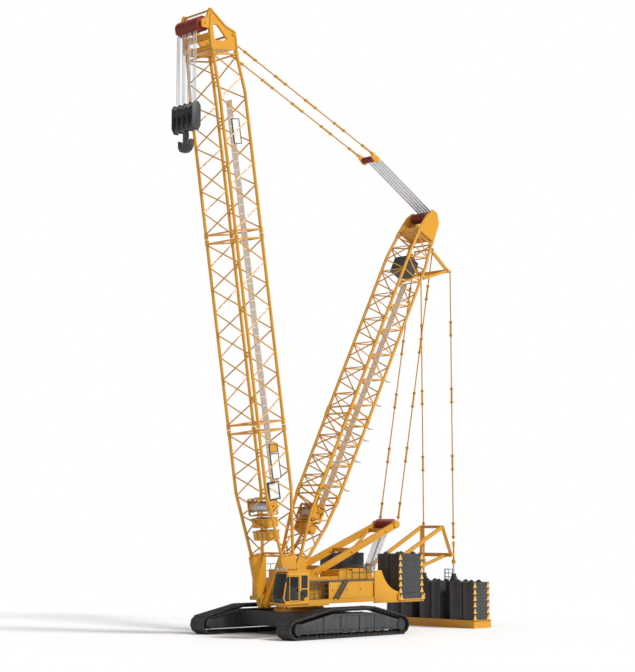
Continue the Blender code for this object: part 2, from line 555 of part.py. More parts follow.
# ---- Boom -----------------------------------------------------------------------------------
W = BOOM_HALF_W
D = BOOM_HALF_D
arm_foot("boom_foot", BOOM_ANGLE, [(3.2, 0.40, -0.60, W), (8.1, D, -D, W), (12.6, D, -D, W)], 6,
         (3.4, 0.64, -0.84, 0.36), 1.46, 1.74)
lattice("boom_lower", BOOM_ANGLE, [(12.6, D, -D, W), (26.23, D, -D, W)], 8, "yellow")
BOOM_UP = [(26.23, D, -D, W), (36.28, D, -D, W), (39.3, D, -0.95, 1.40)]
lattice("boom_upper", BOOM_ANGLE, BOOM_UP, 8, "yellow")
CHEEK = arm_plate(BOOM_ANGLE, ((39.3 + GAP, 1.30), (39.7, 1.42), (40.75, 1.36), (40.85, 1.95), (41.35, 1.95),
                               (41.55, 1.45), (42.2, 1.12), (42.2, 0.92), (41.70, 0.55), (40.95, -0.25),
                               (40.60, -1.08), (40.1, -1.12), (39.3 + GAP, -1.05)))
OPENING = arm_plate(BOOM_ANGLE, ((41.05, 0.98), (41.0, 0.55), (40.05, -0.20), (39.90, 0.10), (39.95, 0.98)))
floor = arm_plate(BOOM_ANGLE, ((39.36, 1.1), (39.72, 1.1), (39.72, -1.0), (39.36, -1.0)))
tie = arm_plate(BOOM_ANGLE, ((40.1, 1.32), (40.5, 1.32), (40.5, 1.02), (40.1, 1.02)))
joined("boom_head", [prism_bm(floor, -1.48, 1.48, "xz"), prism_bm(CHEEK, 1.34, 1.50, "xz"),
                     prism_bm(CHEEK, -1.50, -1.34, "xz"), prism_bm(tie, -1.40, 1.40, "xz")], "yellow", FOOT,
       [prism_bm(OPENING, -1.6, 1.6, "xz")])
BOOM_WALK = arm_plate(BOOM_ANGLE, ((8.4, -1.05), (36.0, -1.05), (36.0, -0.97), (8.4, -0.97)))
prism("boom_walkway", BOOM_WALK, -0.3, 0.3, "xz", "tan", FOOT)
NEST_B = (SHEAVE_AXIS[0], 0, SHEAVE_AXIS[1])
turned("boom_sheaves", NEST_B, nest_profile(1.28, 6, 0.60, 0.51), "y", "red", NEST_B, 20)

# Winch drums inside the feet
DRUM = lambda half, core, flange: ((0.08, -half), (flange, -half), (flange, -half + 0.1), (core, -half + 0.1),
                                   (core, half - 0.1), (flange, half - 0.1), (flange, half), (0.08, half))
for name, angle, s, half in (("hoist_drum", BOOM_ANGLE, 7.0, 1.15),
                             ("luffing_drum", MAST_ANGLE, 7.2, 0.75)):
    x, z = on_arm(angle, s, 0.25 if angle < 90 else 0.05)
    turned(name, (x, 0, z), DRUM(half, 0.34, 0.46), "y", "charcoal", (x, 0, z), 20)

# ---- Hoist ropes, hook block and hook -------------------------------------------------------
HOOK_X = SHEAVE_AXIS[0] + 0.45
ROPE_Z = (37.05, 41.95)
for i in range(HOIST_SETS):
    y = -0.90 + i * 0.60
    box(f"hoist_ropes_{i}", (HOOK_X - 0.04, HOOK_X + 0.04), (y - 0.10, y + 0.10), ROPE_Z, "rope", NEST_B)
BLOCK = [(HOOK_X - 0.40, 35.10), (HOOK_X - 0.40, 36.75), (HOOK_X - 0.22, 36.98), (HOOK_X + 0.22, 36.98),
         (HOOK_X + 0.40, 36.75), (HOOK_X + 0.40, 35.10), (HOOK_X + 0.22, 34.90), (HOOK_X - 0.22, 34.90)]
BLOCK_CORE = rect(HOOK_X - 0.14, HOOK_X + 0.14, 34.90, 36.96)
block_plates = [prism_bm(BLOCK, y - 0.08, y + 0.08, "xz") for y in (-1.07, -0.535, 0.0, 0.535, 1.07)]
joined("hook_block", [prism_bm(BLOCK_CORE, -1.10, 1.10, "xz")] + block_plates, "charcoal", (HOOK_X, 0, 36.0))
HOOK_SIDE = [(0.16, 34.90 - GAP), (0.16, 34.15), (0.28, 33.98), (0.48, 33.98), (0.54, 34.32), (0.70, 34.36),
             (0.70, 33.88), (0.50, 33.60), (0.20, 33.48)]
HOOK = HOOK_SIDE + [(-y, z) for y, z in HOOK_SIDE[::-1]]
prism("hook", HOOK, HOOK_X - 0.15, HOOK_X + 0.15, "yz", "charcoal", (HOOK_X, 0, 34.5))

# ---- Boom stays, floating block and luffing ropes -------------------------------------------
STAY_Y = 0.72
STAY_ORIGIN = (STAY_TOP[0], 0, STAY_TOP[1])
sx = BLOCK_AT[0] - STAY_TOP[0]
sz = BLOCK_AT[1] - STAY_TOP[1]
slen = math.hypot(sx, sz)
sdir = (sx / slen, sz / slen)
snor = (-sdir[1], sdir[0])
if snor[1] < 0:
    snor = (-snor[0], -snor[1])


def on_stay(d, n):
    return (STAY_TOP[0] + sdir[0] * d + snor[0] * n, STAY_TOP[1] + sdir[1] * d + snor[1] * n)


a = on_stay(0.0, 0)
b = on_stay(slen - 0.45, 0)
stays = []
for sy in (1, -1):
    stays.append(beam_bm((a[0], sy * STAY_Y, a[1]), (b[0], sy * STAY_Y, b[1]), 0.10, 0.16))
block_shape = [on_stay(slen - 0.5, 0.16), on_stay(slen - 0.5, -0.3), on_stay(slen + 0.1, -0.45),
               on_stay(slen + 0.45, -0.3), on_stay(slen + 0.45, 0.10)]
pin = turned_bm((a[0], 0, a[1]), ((0.10, -1.33), (0.10, 1.33)), "y", 12)
joined("boom_stays", [prism_bm(block_shape, -0.80, 0.80, "xz"), stays[0], stays[1], pin], "steel", STAY_ORIGIN)
rdir = (-sdir[0], -sdir[1])
r_origin = (MAST_NEST[0], 0, MAST_NEST[1])
d_nest = (MAST_NEST[0] - STAY_TOP[0]) * sdir[0] + (MAST_NEST[1] - STAY_TOP[1]) * sdir[1]
n_nest = (MAST_NEST[0] - STAY_TOP[0]) * snor[0] + (MAST_NEST[1] - STAY_TOP[1]) * snor[1]
n_rope = n_nest + 0.50
for i in range(ROPE_SETS):
    y = -0.60 + i * 0.30
    d0 = slen + 0.60
    d1 = d_nest
    outline = [on_stay(d0, 0.02), on_stay(d1, n_rope - 0.04), on_stay(d1, n_rope + 0.04), on_stay(d0, 0.10)]
    prism(f"luffing_ropes_{i}", outline, y - 0.10, y + 0.10, "xz", "rope", r_origin)
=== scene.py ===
"""Finish and fine pieces of the crawler crane, laid out as a Blender add-on."""
import math

import bpy
from mathutils import Matrix, Vector


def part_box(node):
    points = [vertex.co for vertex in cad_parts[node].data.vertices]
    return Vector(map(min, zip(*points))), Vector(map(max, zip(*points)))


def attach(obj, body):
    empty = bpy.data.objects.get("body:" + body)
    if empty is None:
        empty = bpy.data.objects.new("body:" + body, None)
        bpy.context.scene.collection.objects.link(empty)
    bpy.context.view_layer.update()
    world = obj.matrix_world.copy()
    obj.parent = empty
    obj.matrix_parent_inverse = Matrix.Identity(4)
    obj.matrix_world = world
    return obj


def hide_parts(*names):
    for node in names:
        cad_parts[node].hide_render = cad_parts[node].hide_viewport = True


bl_info = {
    "name": "Crawler crane finish",
    "version": (1, 0, 0),
    "blender": (4, 5, 0),
    "location": "3D View > Sidebar > Crane",
    "description": "Lattice, shoes, ballast slabs, ropes, cab fittings and paint of a crawler crane",
    "category": "Object",
}

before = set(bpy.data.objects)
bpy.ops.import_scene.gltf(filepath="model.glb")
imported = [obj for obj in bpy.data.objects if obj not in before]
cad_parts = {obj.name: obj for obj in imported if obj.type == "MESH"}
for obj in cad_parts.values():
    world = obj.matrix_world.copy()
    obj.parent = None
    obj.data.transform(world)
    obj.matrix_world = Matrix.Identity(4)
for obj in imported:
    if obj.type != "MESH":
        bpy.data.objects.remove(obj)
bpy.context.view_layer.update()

HALF = 0.5                    # the model is half the full size
TO_MIDDLE = 2.15              # full-size metres from the slewing axis to the middle of the length
FOOT_X, FOOT_Z = 2.24, 2.20   # common foot axis of the boom and the mast
BOOM_TILT, MAST_TILT = 80.86, 117.5
BOOM_W, BOOM_D = 1.61, 1.195
LEFT_RIGHT = (("left", 1), ("right", -1))

BEVEL_ANGLE = math.radians(40)    # edges sharper than this are rounded
SMOOTH_ANGLE = math.radians(35)   # faces that meet flatter than this are shaded as one
TRACK_Y = 4.60                    # full-size distance of a track's middle from the slewing axis
SHOE_WIDTH = 0.735                # model metres, across the track
CHEEK_Y = 1.50                    # full-size distance of a boom head cheek's middle from the middle
LENS, SENSOR = 90.45, 36.0        # millimetres
KEY_STRENGTH, SKY_STRENGTH = 3.1, 0.49


def at(x, y, z):
    """A full-size place on the machine as a point of the model."""
    return Vector(((x + TO_MIDDLE) * HALF, y * HALF, z * HALF))


def on_arm(tilt, s, n, y=0.0):
    t = math.radians(tilt)
    return at(FOOT_X + math.cos(t) * s + math.sin(t) * n, y, FOOT_Z + math.sin(t) * s - math.cos(t) * n)


def length(name, description, default):
    return bpy.props.FloatProperty(name=name, description=description, default=default, unit="LENGTH")


def colour(name, description, default):
    return bpy.props.FloatVectorProperty(name=name, description=description, subtype="COLOR", default=default)


class CRANE_PG_sizes(bpy.types.PropertyGroup):
    """Sizes of the fine pieces, in model metres."""
    chord_radius: length("Chord radius", "Radius of the main tubes", 0.058)
    lace_radius: length("Lacing radius", "Radius of the lacing tubes", 0.026)
    rope_radius: length("Rope radius", "Radius of one rope fall", 0.014)
    shoe_pitch: length("Shoe pitch", "Length of one track shoe", 0.205)
    rail_radius: length("Rail radius", "Radius of a hand rail", 0.012)


class CRANE_PG_colours(bpy.types.PropertyGroup):
    """Colours of the finishes."""
    yellow: colour("Yellow", "Main enamel", (0.60, 0.272, 0.006))
    charcoal: colour("Charcoal", "Ballast and chassis enamel", (0.034, 0.035, 0.038))
    track: colour("Track steel", "Cast shoes", (0.026, 0.026, 0.027))
    sheave: colour("Sheave red", "Dark red sheaves", (0.22, 0.020, 0.010))
    rope: colour("Rope", "Wire rope", (0.60, 0.61, 0.63))
    white: colour("White", "Blank sign panels", (0.80, 0.79, 0.74))
    tan: colour("Grating", "Walkway grating", (0.80, 0.68, 0.57))
    lug: colour("Pale yellow", "Lugs on the slabs", (0.72, 0.40, 0.05))


# ---- Shader groups and materials -------------------------------------------------------------
def new_group(name, inputs, outputs):
    tree = bpy.data.node_groups.new(name, "ShaderNodeTree")
    for label, kind, value in inputs:
        sock = tree.interface.new_socket(name=label, in_out="INPUT", socket_type=kind)
        if value is not None:
            sock.default_value = value
    for label, kind in outputs:
        tree.interface.new_socket(name=label, in_out="OUTPUT", socket_type=kind)
    return tree, tree.nodes.new("NodeGroupInput"), tree.nodes.new("NodeGroupOutput")


def weathering_group():
    """Colour drift in patches, dust in upright streaks, and a fine uneven surface."""
    if "weathering" in bpy.data.node_groups:
        return bpy.data.node_groups["weathering"]
    F, C = "NodeSocketFloat", "NodeSocketColor"
    tree, gin, gout = new_group("weathering", (
        ("Colour", C, (1, 1, 1, 1)), ("Dust", C, (0.30, 0.28, 0.25, 1)), ("Dust amount", F, 0.25),
        ("Drift", F, 0.12), ("Patch size", F, 1.5), ("Grain size", F, 60.0), ("Roughness", F, 0.4)),
        (("Colour", C), ("Roughness", F), ("Height", F)))
    N, L = tree.nodes, tree.links
    coord = N.new("ShaderNodeTexCoord")
    patch = N.new("ShaderNodeTexNoise")
    patch.inputs["Detail"].default_value = 6
    fine = N.new("ShaderNodeTexNoise")
    fine.inputs["Detail"].default_value = 4
    streak = N.new("ShaderNodeTexNoise")
    streak.inputs["Scale"].default_value = 3.0
    squeeze = N.new("ShaderNodeMapping")
    squeeze.inputs["Scale"].default_value = (4.0, 4.0, 0.35)
    L.new(coord.outputs["Object"], squeeze.inputs["Vector"])
    L.new(squeeze.outputs["Vector"], streak.inputs["Vector"])
    for tex, size in ((patch, "Patch size"), (fine, "Grain size")):
        L.new(coord.outputs["Object"], tex.inputs["Vector"])
        L.new(gin.outputs[size], tex.inputs["Scale"])
    darker = N.new("ShaderNodeMix")
    darker.data_type = "RGBA"
    darker.blend_type = "MULTIPLY"
    shade = N.new("ShaderNodeMapRange")
    shade.inputs["From Min"].default_value = 0.3
    shade.inputs["From Max"].default_value = 0.7
    shade.inputs["To Min"].default_value = 0.72
    shade.inputs["To Max"].default_value = 1.12
    L.new(patch.outputs["Fac"], shade.inputs["Value"])
    L.new(gin.outputs["Drift"], darker.inputs["Factor"])
    L.new(gin.outputs["Colour"], darker.inputs["A"])
    L.new(shade.outputs["Result"], darker.inputs["B"])
    mask = N.new("ShaderNodeMath")
    mask.operation = "MULTIPLY"
    ramp = N.new("ShaderNodeMapRange")
    ramp.inputs["From Min"].default_value = 0.46
    ramp.inputs["From Max"].default_value = 0.66
    L.new(streak.outputs["Fac"], ramp.inputs["Value"])
    L.new(ramp.outputs["Result"], mask.inputs[0])
    L.new(gin.outputs["Dust amount"], mask.inputs[1])
    dusty = N.new("ShaderNodeMix")
    dusty.data_type = "RGBA"
    L.new(mask.outputs["Value"], dusty.inputs["Factor"])
    L.new(darker.outputs["Result"], dusty.inputs["A"])
    L.new(gin.outputs["Dust"], dusty.inputs["B"])
    rough = N.new("ShaderNodeMath")
    rough.operation = "MULTIPLY_ADD"
    rough.use_clamp = True
    rough.inputs[1].default_value = 0.45
    L.new(mask.outputs["Value"], rough.inputs[0])
    L.new(gin.outputs["Roughness"], rough.inputs[2])
    L.new(dusty.outputs["Result"], gout.inputs["Colour"])
    L.new(rough.outputs["Value"], gout.inputs["Roughness"])
    L.new(fine.outputs["Fac"], gout.inputs["Height"])
    return tree


def finish_material(name, colour, rough=0.4, metal=0.0, coat=0.0, dust=0.2, drift=0.25, patch=1.2, grain=60.0,
                    bump=0.15, dust_colour=(0.16, 0.15, 0.14, 1.0)):
    """A weathered finish: one Principled shader fed by the weathering group."""
    if name in bpy.data.materials:
        return bpy.data.materials[name]
    mat = bpy.data.materials.new(name)
    mat.use_nodes = True
    N, L = mat.node_tree.nodes, mat.node_tree.links
    shader = N["Principled BSDF"]
    shader.inputs["Metallic"].default_value = metal
    shader.inputs["Coat Weight"].default_value = coat
    group = N.new("ShaderNodeGroup")
    group.node_tree = weathering_group()
    group.inputs["Colour"].default_value = (*colour, 1.0)
    group.inputs["Dust"].default_value = dust_colour
    group.inputs["Dust amount"].default_value = dust
    group.inputs["Drift"].default_value = drift
    group.inputs["Patch size"].default_value = patch
    group.inputs["Grain size"].default_value = grain
    group.inputs["Roughness"].default_value = rough
    relief = N.new("ShaderNodeBump")
    relief.inputs["Strength"].default_value = bump
    relief.inputs["Distance"].default_value = 0.004
    L.new(group.outputs["Colour"], shader.inputs["Base Color"])
    L.new(group.outputs["Roughness"], shader.inputs["Roughness"])
    L.new(group.outputs["Height"], relief.inputs["Height"])
    L.new(relief.outputs["Normal"], shader.inputs["Normal"])
    return mat


def paints():
    c = bpy.context.scene.crane_colours
    return {
        "yellow": finish_material("yellow enamel", c.yellow, 0.42, coat=0.08, dust=0.10,
                                  dust_colour=(0.42, 0.24, 0.06, 1.0)),
        "charcoal": finish_material("charcoal enamel", c.charcoal, 0.5, dust=0.12),
        "track": finish_material("track steel", c.track, 0.6, 0.2, dust=0.2, grain=35, bump=0.4),
        "sheave": finish_material("sheave red", c.sheave, 0.45, dust=0.1),
        "rope": finish_material("wire rope", c.rope, 0.38, 0.65, dust=0.1, grain=160, bump=0.6),
        "steel": finish_material("bar steel", (0.50, 0.50, 0.50), 0.36, 0.7, dust=0.15),
        "chrome": finish_material("chromed rod", (0.75, 0.76, 0.78), 0.12, 1.0, dust=0.02, bump=0.02),
        "white": finish_material("cab enamel", c.white, 0.3, coat=0.3, dust=0.1, drift=0.1),
        "tan": finish_material("grating", c.tan, 0.6, dust=0.1),
        "lug": finish_material("pale lug enamel", c.lug, 0.45, dust=0.1),
        "grey": finish_material("walkway grey", (0.085, 0.084, 0.082), 0.6, dust=0.12),
        "rubber": finish_material("black rubber", (0.018, 0.018, 0.020), 0.6, dust=0.1),
        "seat": finish_material("seat cloth", (0.035, 0.036, 0.040), 0.85, dust=0.05, grain=220, bump=0.5),
        "lamp": finish_material("lamp lens", (0.30, 0.30, 0.29), 0.12, coat=0.6, dust=0.05, bump=0.05),
        "amber": finish_material("amber lens", (0.85, 0.28, 0.02), 0.15, coat=0.6, dust=0.05, bump=0.05),
        "glass": glass_material(),
    }


def glass_material():
    name = "tinted glass"
    if name in bpy.data.materials:
        return bpy.data.materials[name]
    mat = finish_material(name, (0.006, 0.007, 0.009), 0.08, coat=0.0, dust=0.01, drift=0.05, bump=0.01)
    shader = mat.node_tree.nodes["Principled BSDF"]
    shader.inputs["Transmission Weight"].default_value = 0.25
    shader.inputs["IOR"].default_value = 1.5
    return mat


# ---- Modelling helpers -----------------------------------------------------------------------
def clear_selection():
    if bpy.context.object and bpy.context.object.mode != "OBJECT":
        bpy.ops.object.mode_set(mode="OBJECT")
    bpy.ops.object.select_all(action="DESELECT")


def tube_template(sides=10):
    """A unit tube along Z, its sides shaded smooth."""
    clear_selection()
    bpy.ops.mesh.primitive_cylinder_add(vertices=sides, radius=1.0, depth=1.0, location=(0, 0, 0))
    obj = bpy.context.object
    bpy.ops.object.shade_smooth_by_angle(angle=BEVEL_ANGLE)
    obj.name = f"tube_pattern_{sides}"
    return obj


def block_template():
    """A unit block; join_copies bevels its edges after it is stretched."""
    clear_selection()
    bpy.ops.mesh.primitive_cube_add(size=1.0, location=(0, 0, 0))
    obj = bpy.context.object
    obj.name = "block_pattern"
    return obj


def between(a, b, radius, radius_b=None):
    """The matrix that lays the unit tube from a to b."""
    d = b - a
    turn = d.to_track_quat("Z", "Y").to_matrix().to_4x4()
    size = Matrix.Diagonal((radius, radius_b or radius, d.length, 1.0))
    return Matrix.Translation((a + b) / 2) @ turn @ size


def slab(lo, hi):
    """The matrix that fits the unit block between two corners."""
    lo, hi = Vector(lo), Vector(hi)
    size = Vector((abs(hi[i] - lo[i]) for i in range(3)))
    return Matrix.Translation((lo + hi) / 2) @ Matrix.Diagonal((*size, 1.0))


def join_parts(parts):
    """Copies of patterns laid by their matrices, each with its own mesh, joined into one object."""
    clear_selection()
    first = None
    for pattern, matrix in parts:
        copy = pattern.copy()
        copy.data = pattern.data.copy()
        bpy.context.scene.collection.objects.link(copy)
        copy.matrix_world = matrix
        copy.select_set(True)
        first = first or copy
    bpy.context.view_layer.objects.active = first
    if len(parts) > 1:
        bpy.ops.object.join()
    bpy.ops.object.transform_apply(location=True, rotation=True, scale=True)
    return bpy.context.object


def join_copies(name, parts, paint, body, bevel=0.0, replaces=()):
    """Joined copies as a finished piece: named, softened, painted and set riding on its body."""
    obj = join_parts(parts)
    obj.name = name
    obj.data.name = name
    if bevel:
        soften(obj, bevel)
    return dress(obj, paint, body, replaces)


def discard(*patterns):
    """Take away patterns that have been copied."""
    for pattern in patterns:
        bpy.data.objects.remove(pattern, do_unlink=True)


def soften(obj, width, segments=2):
    mod = obj.modifiers.new("soft edges", "BEVEL")
    mod.width = width
    mod.segments = segments
    mod.limit_method = "ANGLE"
    mod.angle_limit = BEVEL_ANGLE
    bpy.context.view_layer.objects.active = obj
    bpy.ops.object.modifier_apply(modifier=mod.name)


def dress(obj, paint, body, replaces=()):
    obj.data.materials.clear()
    obj.data.materials.append(paint)
    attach(obj, body)
    if replaces:
        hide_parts(*replaces)
    return obj


def turned(name, centre, profile, paint, body, axis="Y", steps=32, replaces=()):
    """A closed profile of (radius, along) pairs in full-size metres, spun about an axis."""
    clear_selection()
    mesh = bpy.data.meshes.new(name)
    mesh.from_pydata([(r * HALF, 0.0, a * HALF) for r, a in profile],
                     [(i, i + 1) for i in range(len(profile) - 1)], [])
    obj = bpy.data.objects.new(name, mesh)
    bpy.context.scene.collection.objects.link(obj)
    obj.select_set(True)
    bpy.context.view_layer.objects.active = obj
    mod = obj.modifiers.new("turn", "SCREW")
    mod.steps = steps
    mod.render_steps = steps
    mod.use_merge_vertices = True
    mod.merge_threshold = 0.00005
    bpy.ops.object.modifier_apply(modifier=mod.name)
    bpy.ops.object.mode_set(mode="EDIT")
    bpy.ops.mesh.select_all(action="SELECT")
    bpy.ops.mesh.normals_make_consistent(inside=False)
    bpy.ops.object.mode_set(mode="OBJECT")
    turn = {"Y": Matrix.Rotation(math.radians(-90), 4, "X"), "Z": Matrix.Identity(4),
            "X": Matrix.Rotation(math.radians(90), 4, "Y")}[axis]
    obj.matrix_world = Matrix.Translation(centre) @ turn
    bpy.ops.object.transform_apply(location=True, rotation=True, scale=True)
    bpy.ops.object.shade_smooth_by_angle(angle=SMOOTH_ANGLE)
    return dress(obj, paint, body, replaces)


def plate(name, outline, y0, y1, paint, body, bevel=0.006, replaces=()):
    """A side plate: an outline of points in the XZ plane, filled and pushed across Y."""
    clear_selection()
    mesh = bpy.data.meshes.new(name)
    mesh.from_pydata([(p.x, y0 * HALF, p.z) for p in outline], [], [tuple(range(len(outline)))])
    obj = bpy.data.objects.new(name, mesh)
    bpy.context.scene.collection.objects.link(obj)
    obj.select_set(True)
    bpy.context.view_layer.objects.active = obj
    bpy.ops.object.mode_set(mode="EDIT")
    bpy.ops.mesh.select_all(action="SELECT")
    bpy.ops.mesh.extrude_region_move(TRANSFORM_OT_translate={"value": (0, (y1 - y0) * HALF, 0)})
    bpy.ops.mesh.select_all(action="SELECT")
    bpy.ops.mesh.normals_make_consistent(inside=False)
    bpy.ops.object.mode_set(mode="OBJECT")
    if bevel:
        soften(obj, bevel)
    bpy.ops.object.shade_smooth_by_angle(angle=SMOOTH_ANGLE)
    return dress(obj, paint, body, replaces)


def paint_nodes(names, paint):
    for name in names:
        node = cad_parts[name]
        node.data.materials.clear()
        node.data.materials.append(paint)


# ---- Lattice ---------------------------------------------------------------------------------
CHORD_SIGNS = ((1, 1), (-1, 1), (-1, -1), (1, -1))


def table_row(table, s):
    for a, b in zip(table, table[1:]):
        if s <= b[0] + 1e-9:
            t = (s - a[0]) / (b[0] - a[0])
            return [p + (q - p) * t for p, q in zip(a[1:], b[1:])]
    return list(table[-1][1:])


def chord_point(tilt, table, k, s):
    front, rear, width = table_row(table, s)
    sign_n, sign_y = CHORD_SIGNS[k]
    return on_arm(tilt, s, front if sign_n > 0 else rear, sign_y * width)


def lattice(name, tilt, table, bays, body, node, port=0.16, end=1.9, rungs=False):
    """Round chords, zigzag lacing, end frames and fork joints of one section."""
    g = bpy.context.scene.crane_sizes
    tube = tube_template(12)
    thin = tube_template(8)
    s0, s1 = table[0][0], table[-1][0]
    first, last = s0 + port * 2.4, s1 - port * 2.4
    nodes = [first + (last - first) * i / bays for i in range(bays + 1)]
    parts, laces = [], []
    for k in range(4):
        stops = [s0 + 0.02] + [row[0] for row in table[1:-1]] + [s1 - 0.02]
        for a, b in zip(stops, stops[1:]):
            parts.append((tube, between(chord_point(tilt, table, k, a), chord_point(tilt, table, k, b),
                                        g.chord_radius)))
        for s, turn in ((s0 + 0.13, 1), (s1 - 0.13, -1)):
            p = chord_point(tilt, table, k, s)
            q = chord_point(tilt, table, k, s + turn * 0.26)
            parts.append((tube, between(p - (q - p) * 0.4, q, g.chord_radius * 1.28)))
        p = chord_point(tilt, table, k, s1 - 0.10)
        parts.append((tube, between(p - Vector((0, 0.085, 0)), p + Vector((0, 0.085, 0)), 0.035)))
    for a in range(4):
        b = (a + 1) % 4
        for s in (s0 + port * end, s1 - port * end):
            laces.append((thin, between(chord_point(tilt, table, a, s), chord_point(tilt, table, b, s),
                                        g.lace_radius * 1.25)))
        for i in range(bays):
            low, high = (a, b) if i % 2 == 0 else (b, a)
            laces.append((thin, between(chord_point(tilt, table, low, nodes[i]),
                                        chord_point(tilt, table, high, nodes[i + 1]), g.lace_radius)))
        if rungs:
            for i in range(1, bays, 2):
                s = nodes[i]
                laces.append((thin, between(chord_point(tilt, table, a, s), chord_point(tilt, table, b, s),
                                            g.lace_radius * 0.8)))
    for s in (s0 + port * end, s1 - port * end):
        laces.append((thin, between(chord_point(tilt, table, 0, s), chord_point(tilt, table, 2, s),
                                    g.lace_radius * 0.8)))
    paint = paints()["yellow"]
    join_copies(f"{name}_tubes", parts, paint, body, replaces=(node,))
    join_copies(f"{name}_lacing", laces, paint, body)
    discard(tube, thin)


def foot_leg(name, tilt, y0, y1, s_top, n_front, n_rear, radius, body):
    outline = [on_arm(tilt, s_top, n_front), on_arm(tilt, s_top, n_rear)]
    for i in range(13):
        t = math.radians(180 + 15 * i)
        outline.append(on_arm(tilt, math.sin(t) * radius, math.cos(t) * radius))
    p = paints()
    plate(name, outline, y0, y1, p["yellow"], body, 0.012)
    turned(f"{name}_boss", at(FOOT_X, (y0 + y1) / 2, FOOT_Z),
           ((0.145, -0.17), (0.25, -0.17), (0.27, -0.15), (0.27, 0.15), (0.25, 0.17), (0.145, 0.17),
            (0.145, -0.17)),
           p["yellow"], body)


MAST_UP = [(15.32, 1.0, -1.0, 1.22), (29.2, 1.0, -1.0, 1.22), (31.6, 0.80, -0.80, 1.10)]
MAST_FOOT = [(3.4, 0.30, -0.30, 1.00), (6.6, 0.9, -0.9, 1.06), (8.68, 1.0, -1.0, 1.14)]
BOOM_FOOT = [(3.2, 0.40, -0.60, BOOM_W), (8.1, BOOM_D, -BOOM_D, BOOM_W), (12.6, BOOM_D, -BOOM_D, BOOM_W)]
BOOM_UP = [(26.23, BOOM_D, -BOOM_D, BOOM_W), (36.28, BOOM_D, -BOOM_D, BOOM_W), (39.3, BOOM_D, -0.95, 1.40)]


class CRANE_OT_boom(bpy.types.Operator):
    """Make the boom's tubes, lacing, legs, head and walkway"""
    bl_idname = "crane.boom"
    bl_label = "Boom"

    def execute(self, context):
        p = paints()
        lattice("boom_foot", BOOM_TILT, BOOM_FOOT, 6, "boom", "boom_foot")
        lattice("boom_lower", BOOM_TILT, [(12.6, BOOM_D, -BOOM_D, BOOM_W), (26.23, BOOM_D, -BOOM_D, BOOM_W)],
                8,
                "boom", "boom_lower")
        lattice("boom_upper", BOOM_TILT, BOOM_UP, 8, "boom", "boom_upper")
        for side, sy in LEFT_RIGHT:
            ys = sorted((sy * 1.46, sy * 1.74))
            foot_leg(f"boom_leg_{side}", BOOM_TILT, ys[0], ys[1], 3.4, 0.64, -0.84, 0.36, "boom")
        grating("boom_grating", BOOM_TILT, 8.4, 36.0, -1.01, -1.01, "boom", "boom_walkway")
        paint_nodes(("boom_head",), p["yellow"])
        boom_head_tubes(p)
        sign_panel("boom_sign_upper", BOOM_TILT, 32.6, 34.4, 0.34, "boom", p["white"])
        sign_panel("boom_sign_lower", BOOM_TILT, 8.9, 10.7, 0.40, "boom", p["white"])
        sign_panel("boom_sign_cap", BOOM_TILT, 10.75, 11.4, 0.40, "boom", p["yellow"])
        arm_boxes("boom_service_box", BOOM_TILT, [(7.5, 8.6, -0.42, 0.42, 1.02, 1.12)], p["white"], "boom")
        frame_rows = [(7.42, 7.52, -0.55, 0.55, 0.95, 1.16), (8.60, 8.70, -0.55, 0.55, 0.95, 1.16),
                      (7.42, 8.70, -0.52, -0.43, 0.97, 1.15), (7.42, 8.70, 0.43, 0.52, 0.97, 1.15)]
        arm_boxes("boom_service_frame", BOOM_TILT, frame_rows, p["charcoal"], "boom")
        winch_frame("boom_winch_frame", "hoist_drum", BOOM_TILT, 0.98, (-1.15, -2.05), "boom")
        return {"FINISHED"}


def boom_head_tubes(p):
    """Ribs along the cheeks' edges and the ladder of cross tubes between them."""
    tube = tube_template(12)
    rows = []
    for sy in (1, -1):
        edge = [(39.4, 1.36), (40.75, 1.30), (42.1, 1.02)], [(42.1, 1.02), (40.95, -0.15), (40.55, -0.98),
                                                              (39.4, -0.98)]
        for line in edge:
            for (sa, na), (sb, nb) in zip(line, line[1:]):
                rows.append((tube, between(on_arm(BOOM_TILT, sa, na, sy * CHEEK_Y),
                                           on_arm(BOOM_TILT, sb, nb, sy * CHEEK_Y),
                                           0.040)))
    for s, n in ((39.5, 1.30), (39.5, -0.95), (40.3, 1.20), (42.05, 1.02)):
        rows.append((tube, between(on_arm(BOOM_TILT, s, n, -1.46), on_arm(BOOM_TILT, s, n, 1.46), 0.035)))
    rows.append((tube, between(on_arm(BOOM_TILT, 41.13, 1.645, -1.56), on_arm(BOOM_TILT, 41.13, 1.645, 1.56),
                               0.045)))
    for y in (-1.58, 1.30):
        low, high = on_arm(BOOM_TILT, 40.39, -0.776, y), on_arm(BOOM_TILT, 40.39, -0.776, y + 0.28)
        rows.append((tube, between(low, high, 0.05)))
    join_copies("boom_head_tubes", rows, p["yellow"], "boom")
    discard(tube)


def arm_boxes(name, tilt, rows, paint, body, bevel=0.003):
    """Bevelled blocks lying along an arm, each given by its extents along, across and sideways."""
    block = block_template()
    turn = Matrix.Rotation(math.pi / 2 - math.radians(tilt), 4, "Y")
    parts = []
    for s0, s1, n0, n1, y0, y1 in rows:
        mid = on_arm(tilt, (s0 + s1) / 2, (n0 + n1) / 2, (y0 + y1) / 2)
        size = Matrix.Diagonal((abs(n1 - n0) * HALF, abs(y1 - y0) * HALF, abs(s1 - s0) * HALF, 1.0))
        parts.append((block, Matrix.Translation(mid) @ turn @ size))
    obj = join_copies(name, parts, paint, body, bevel)
    discard(block)
    return obj


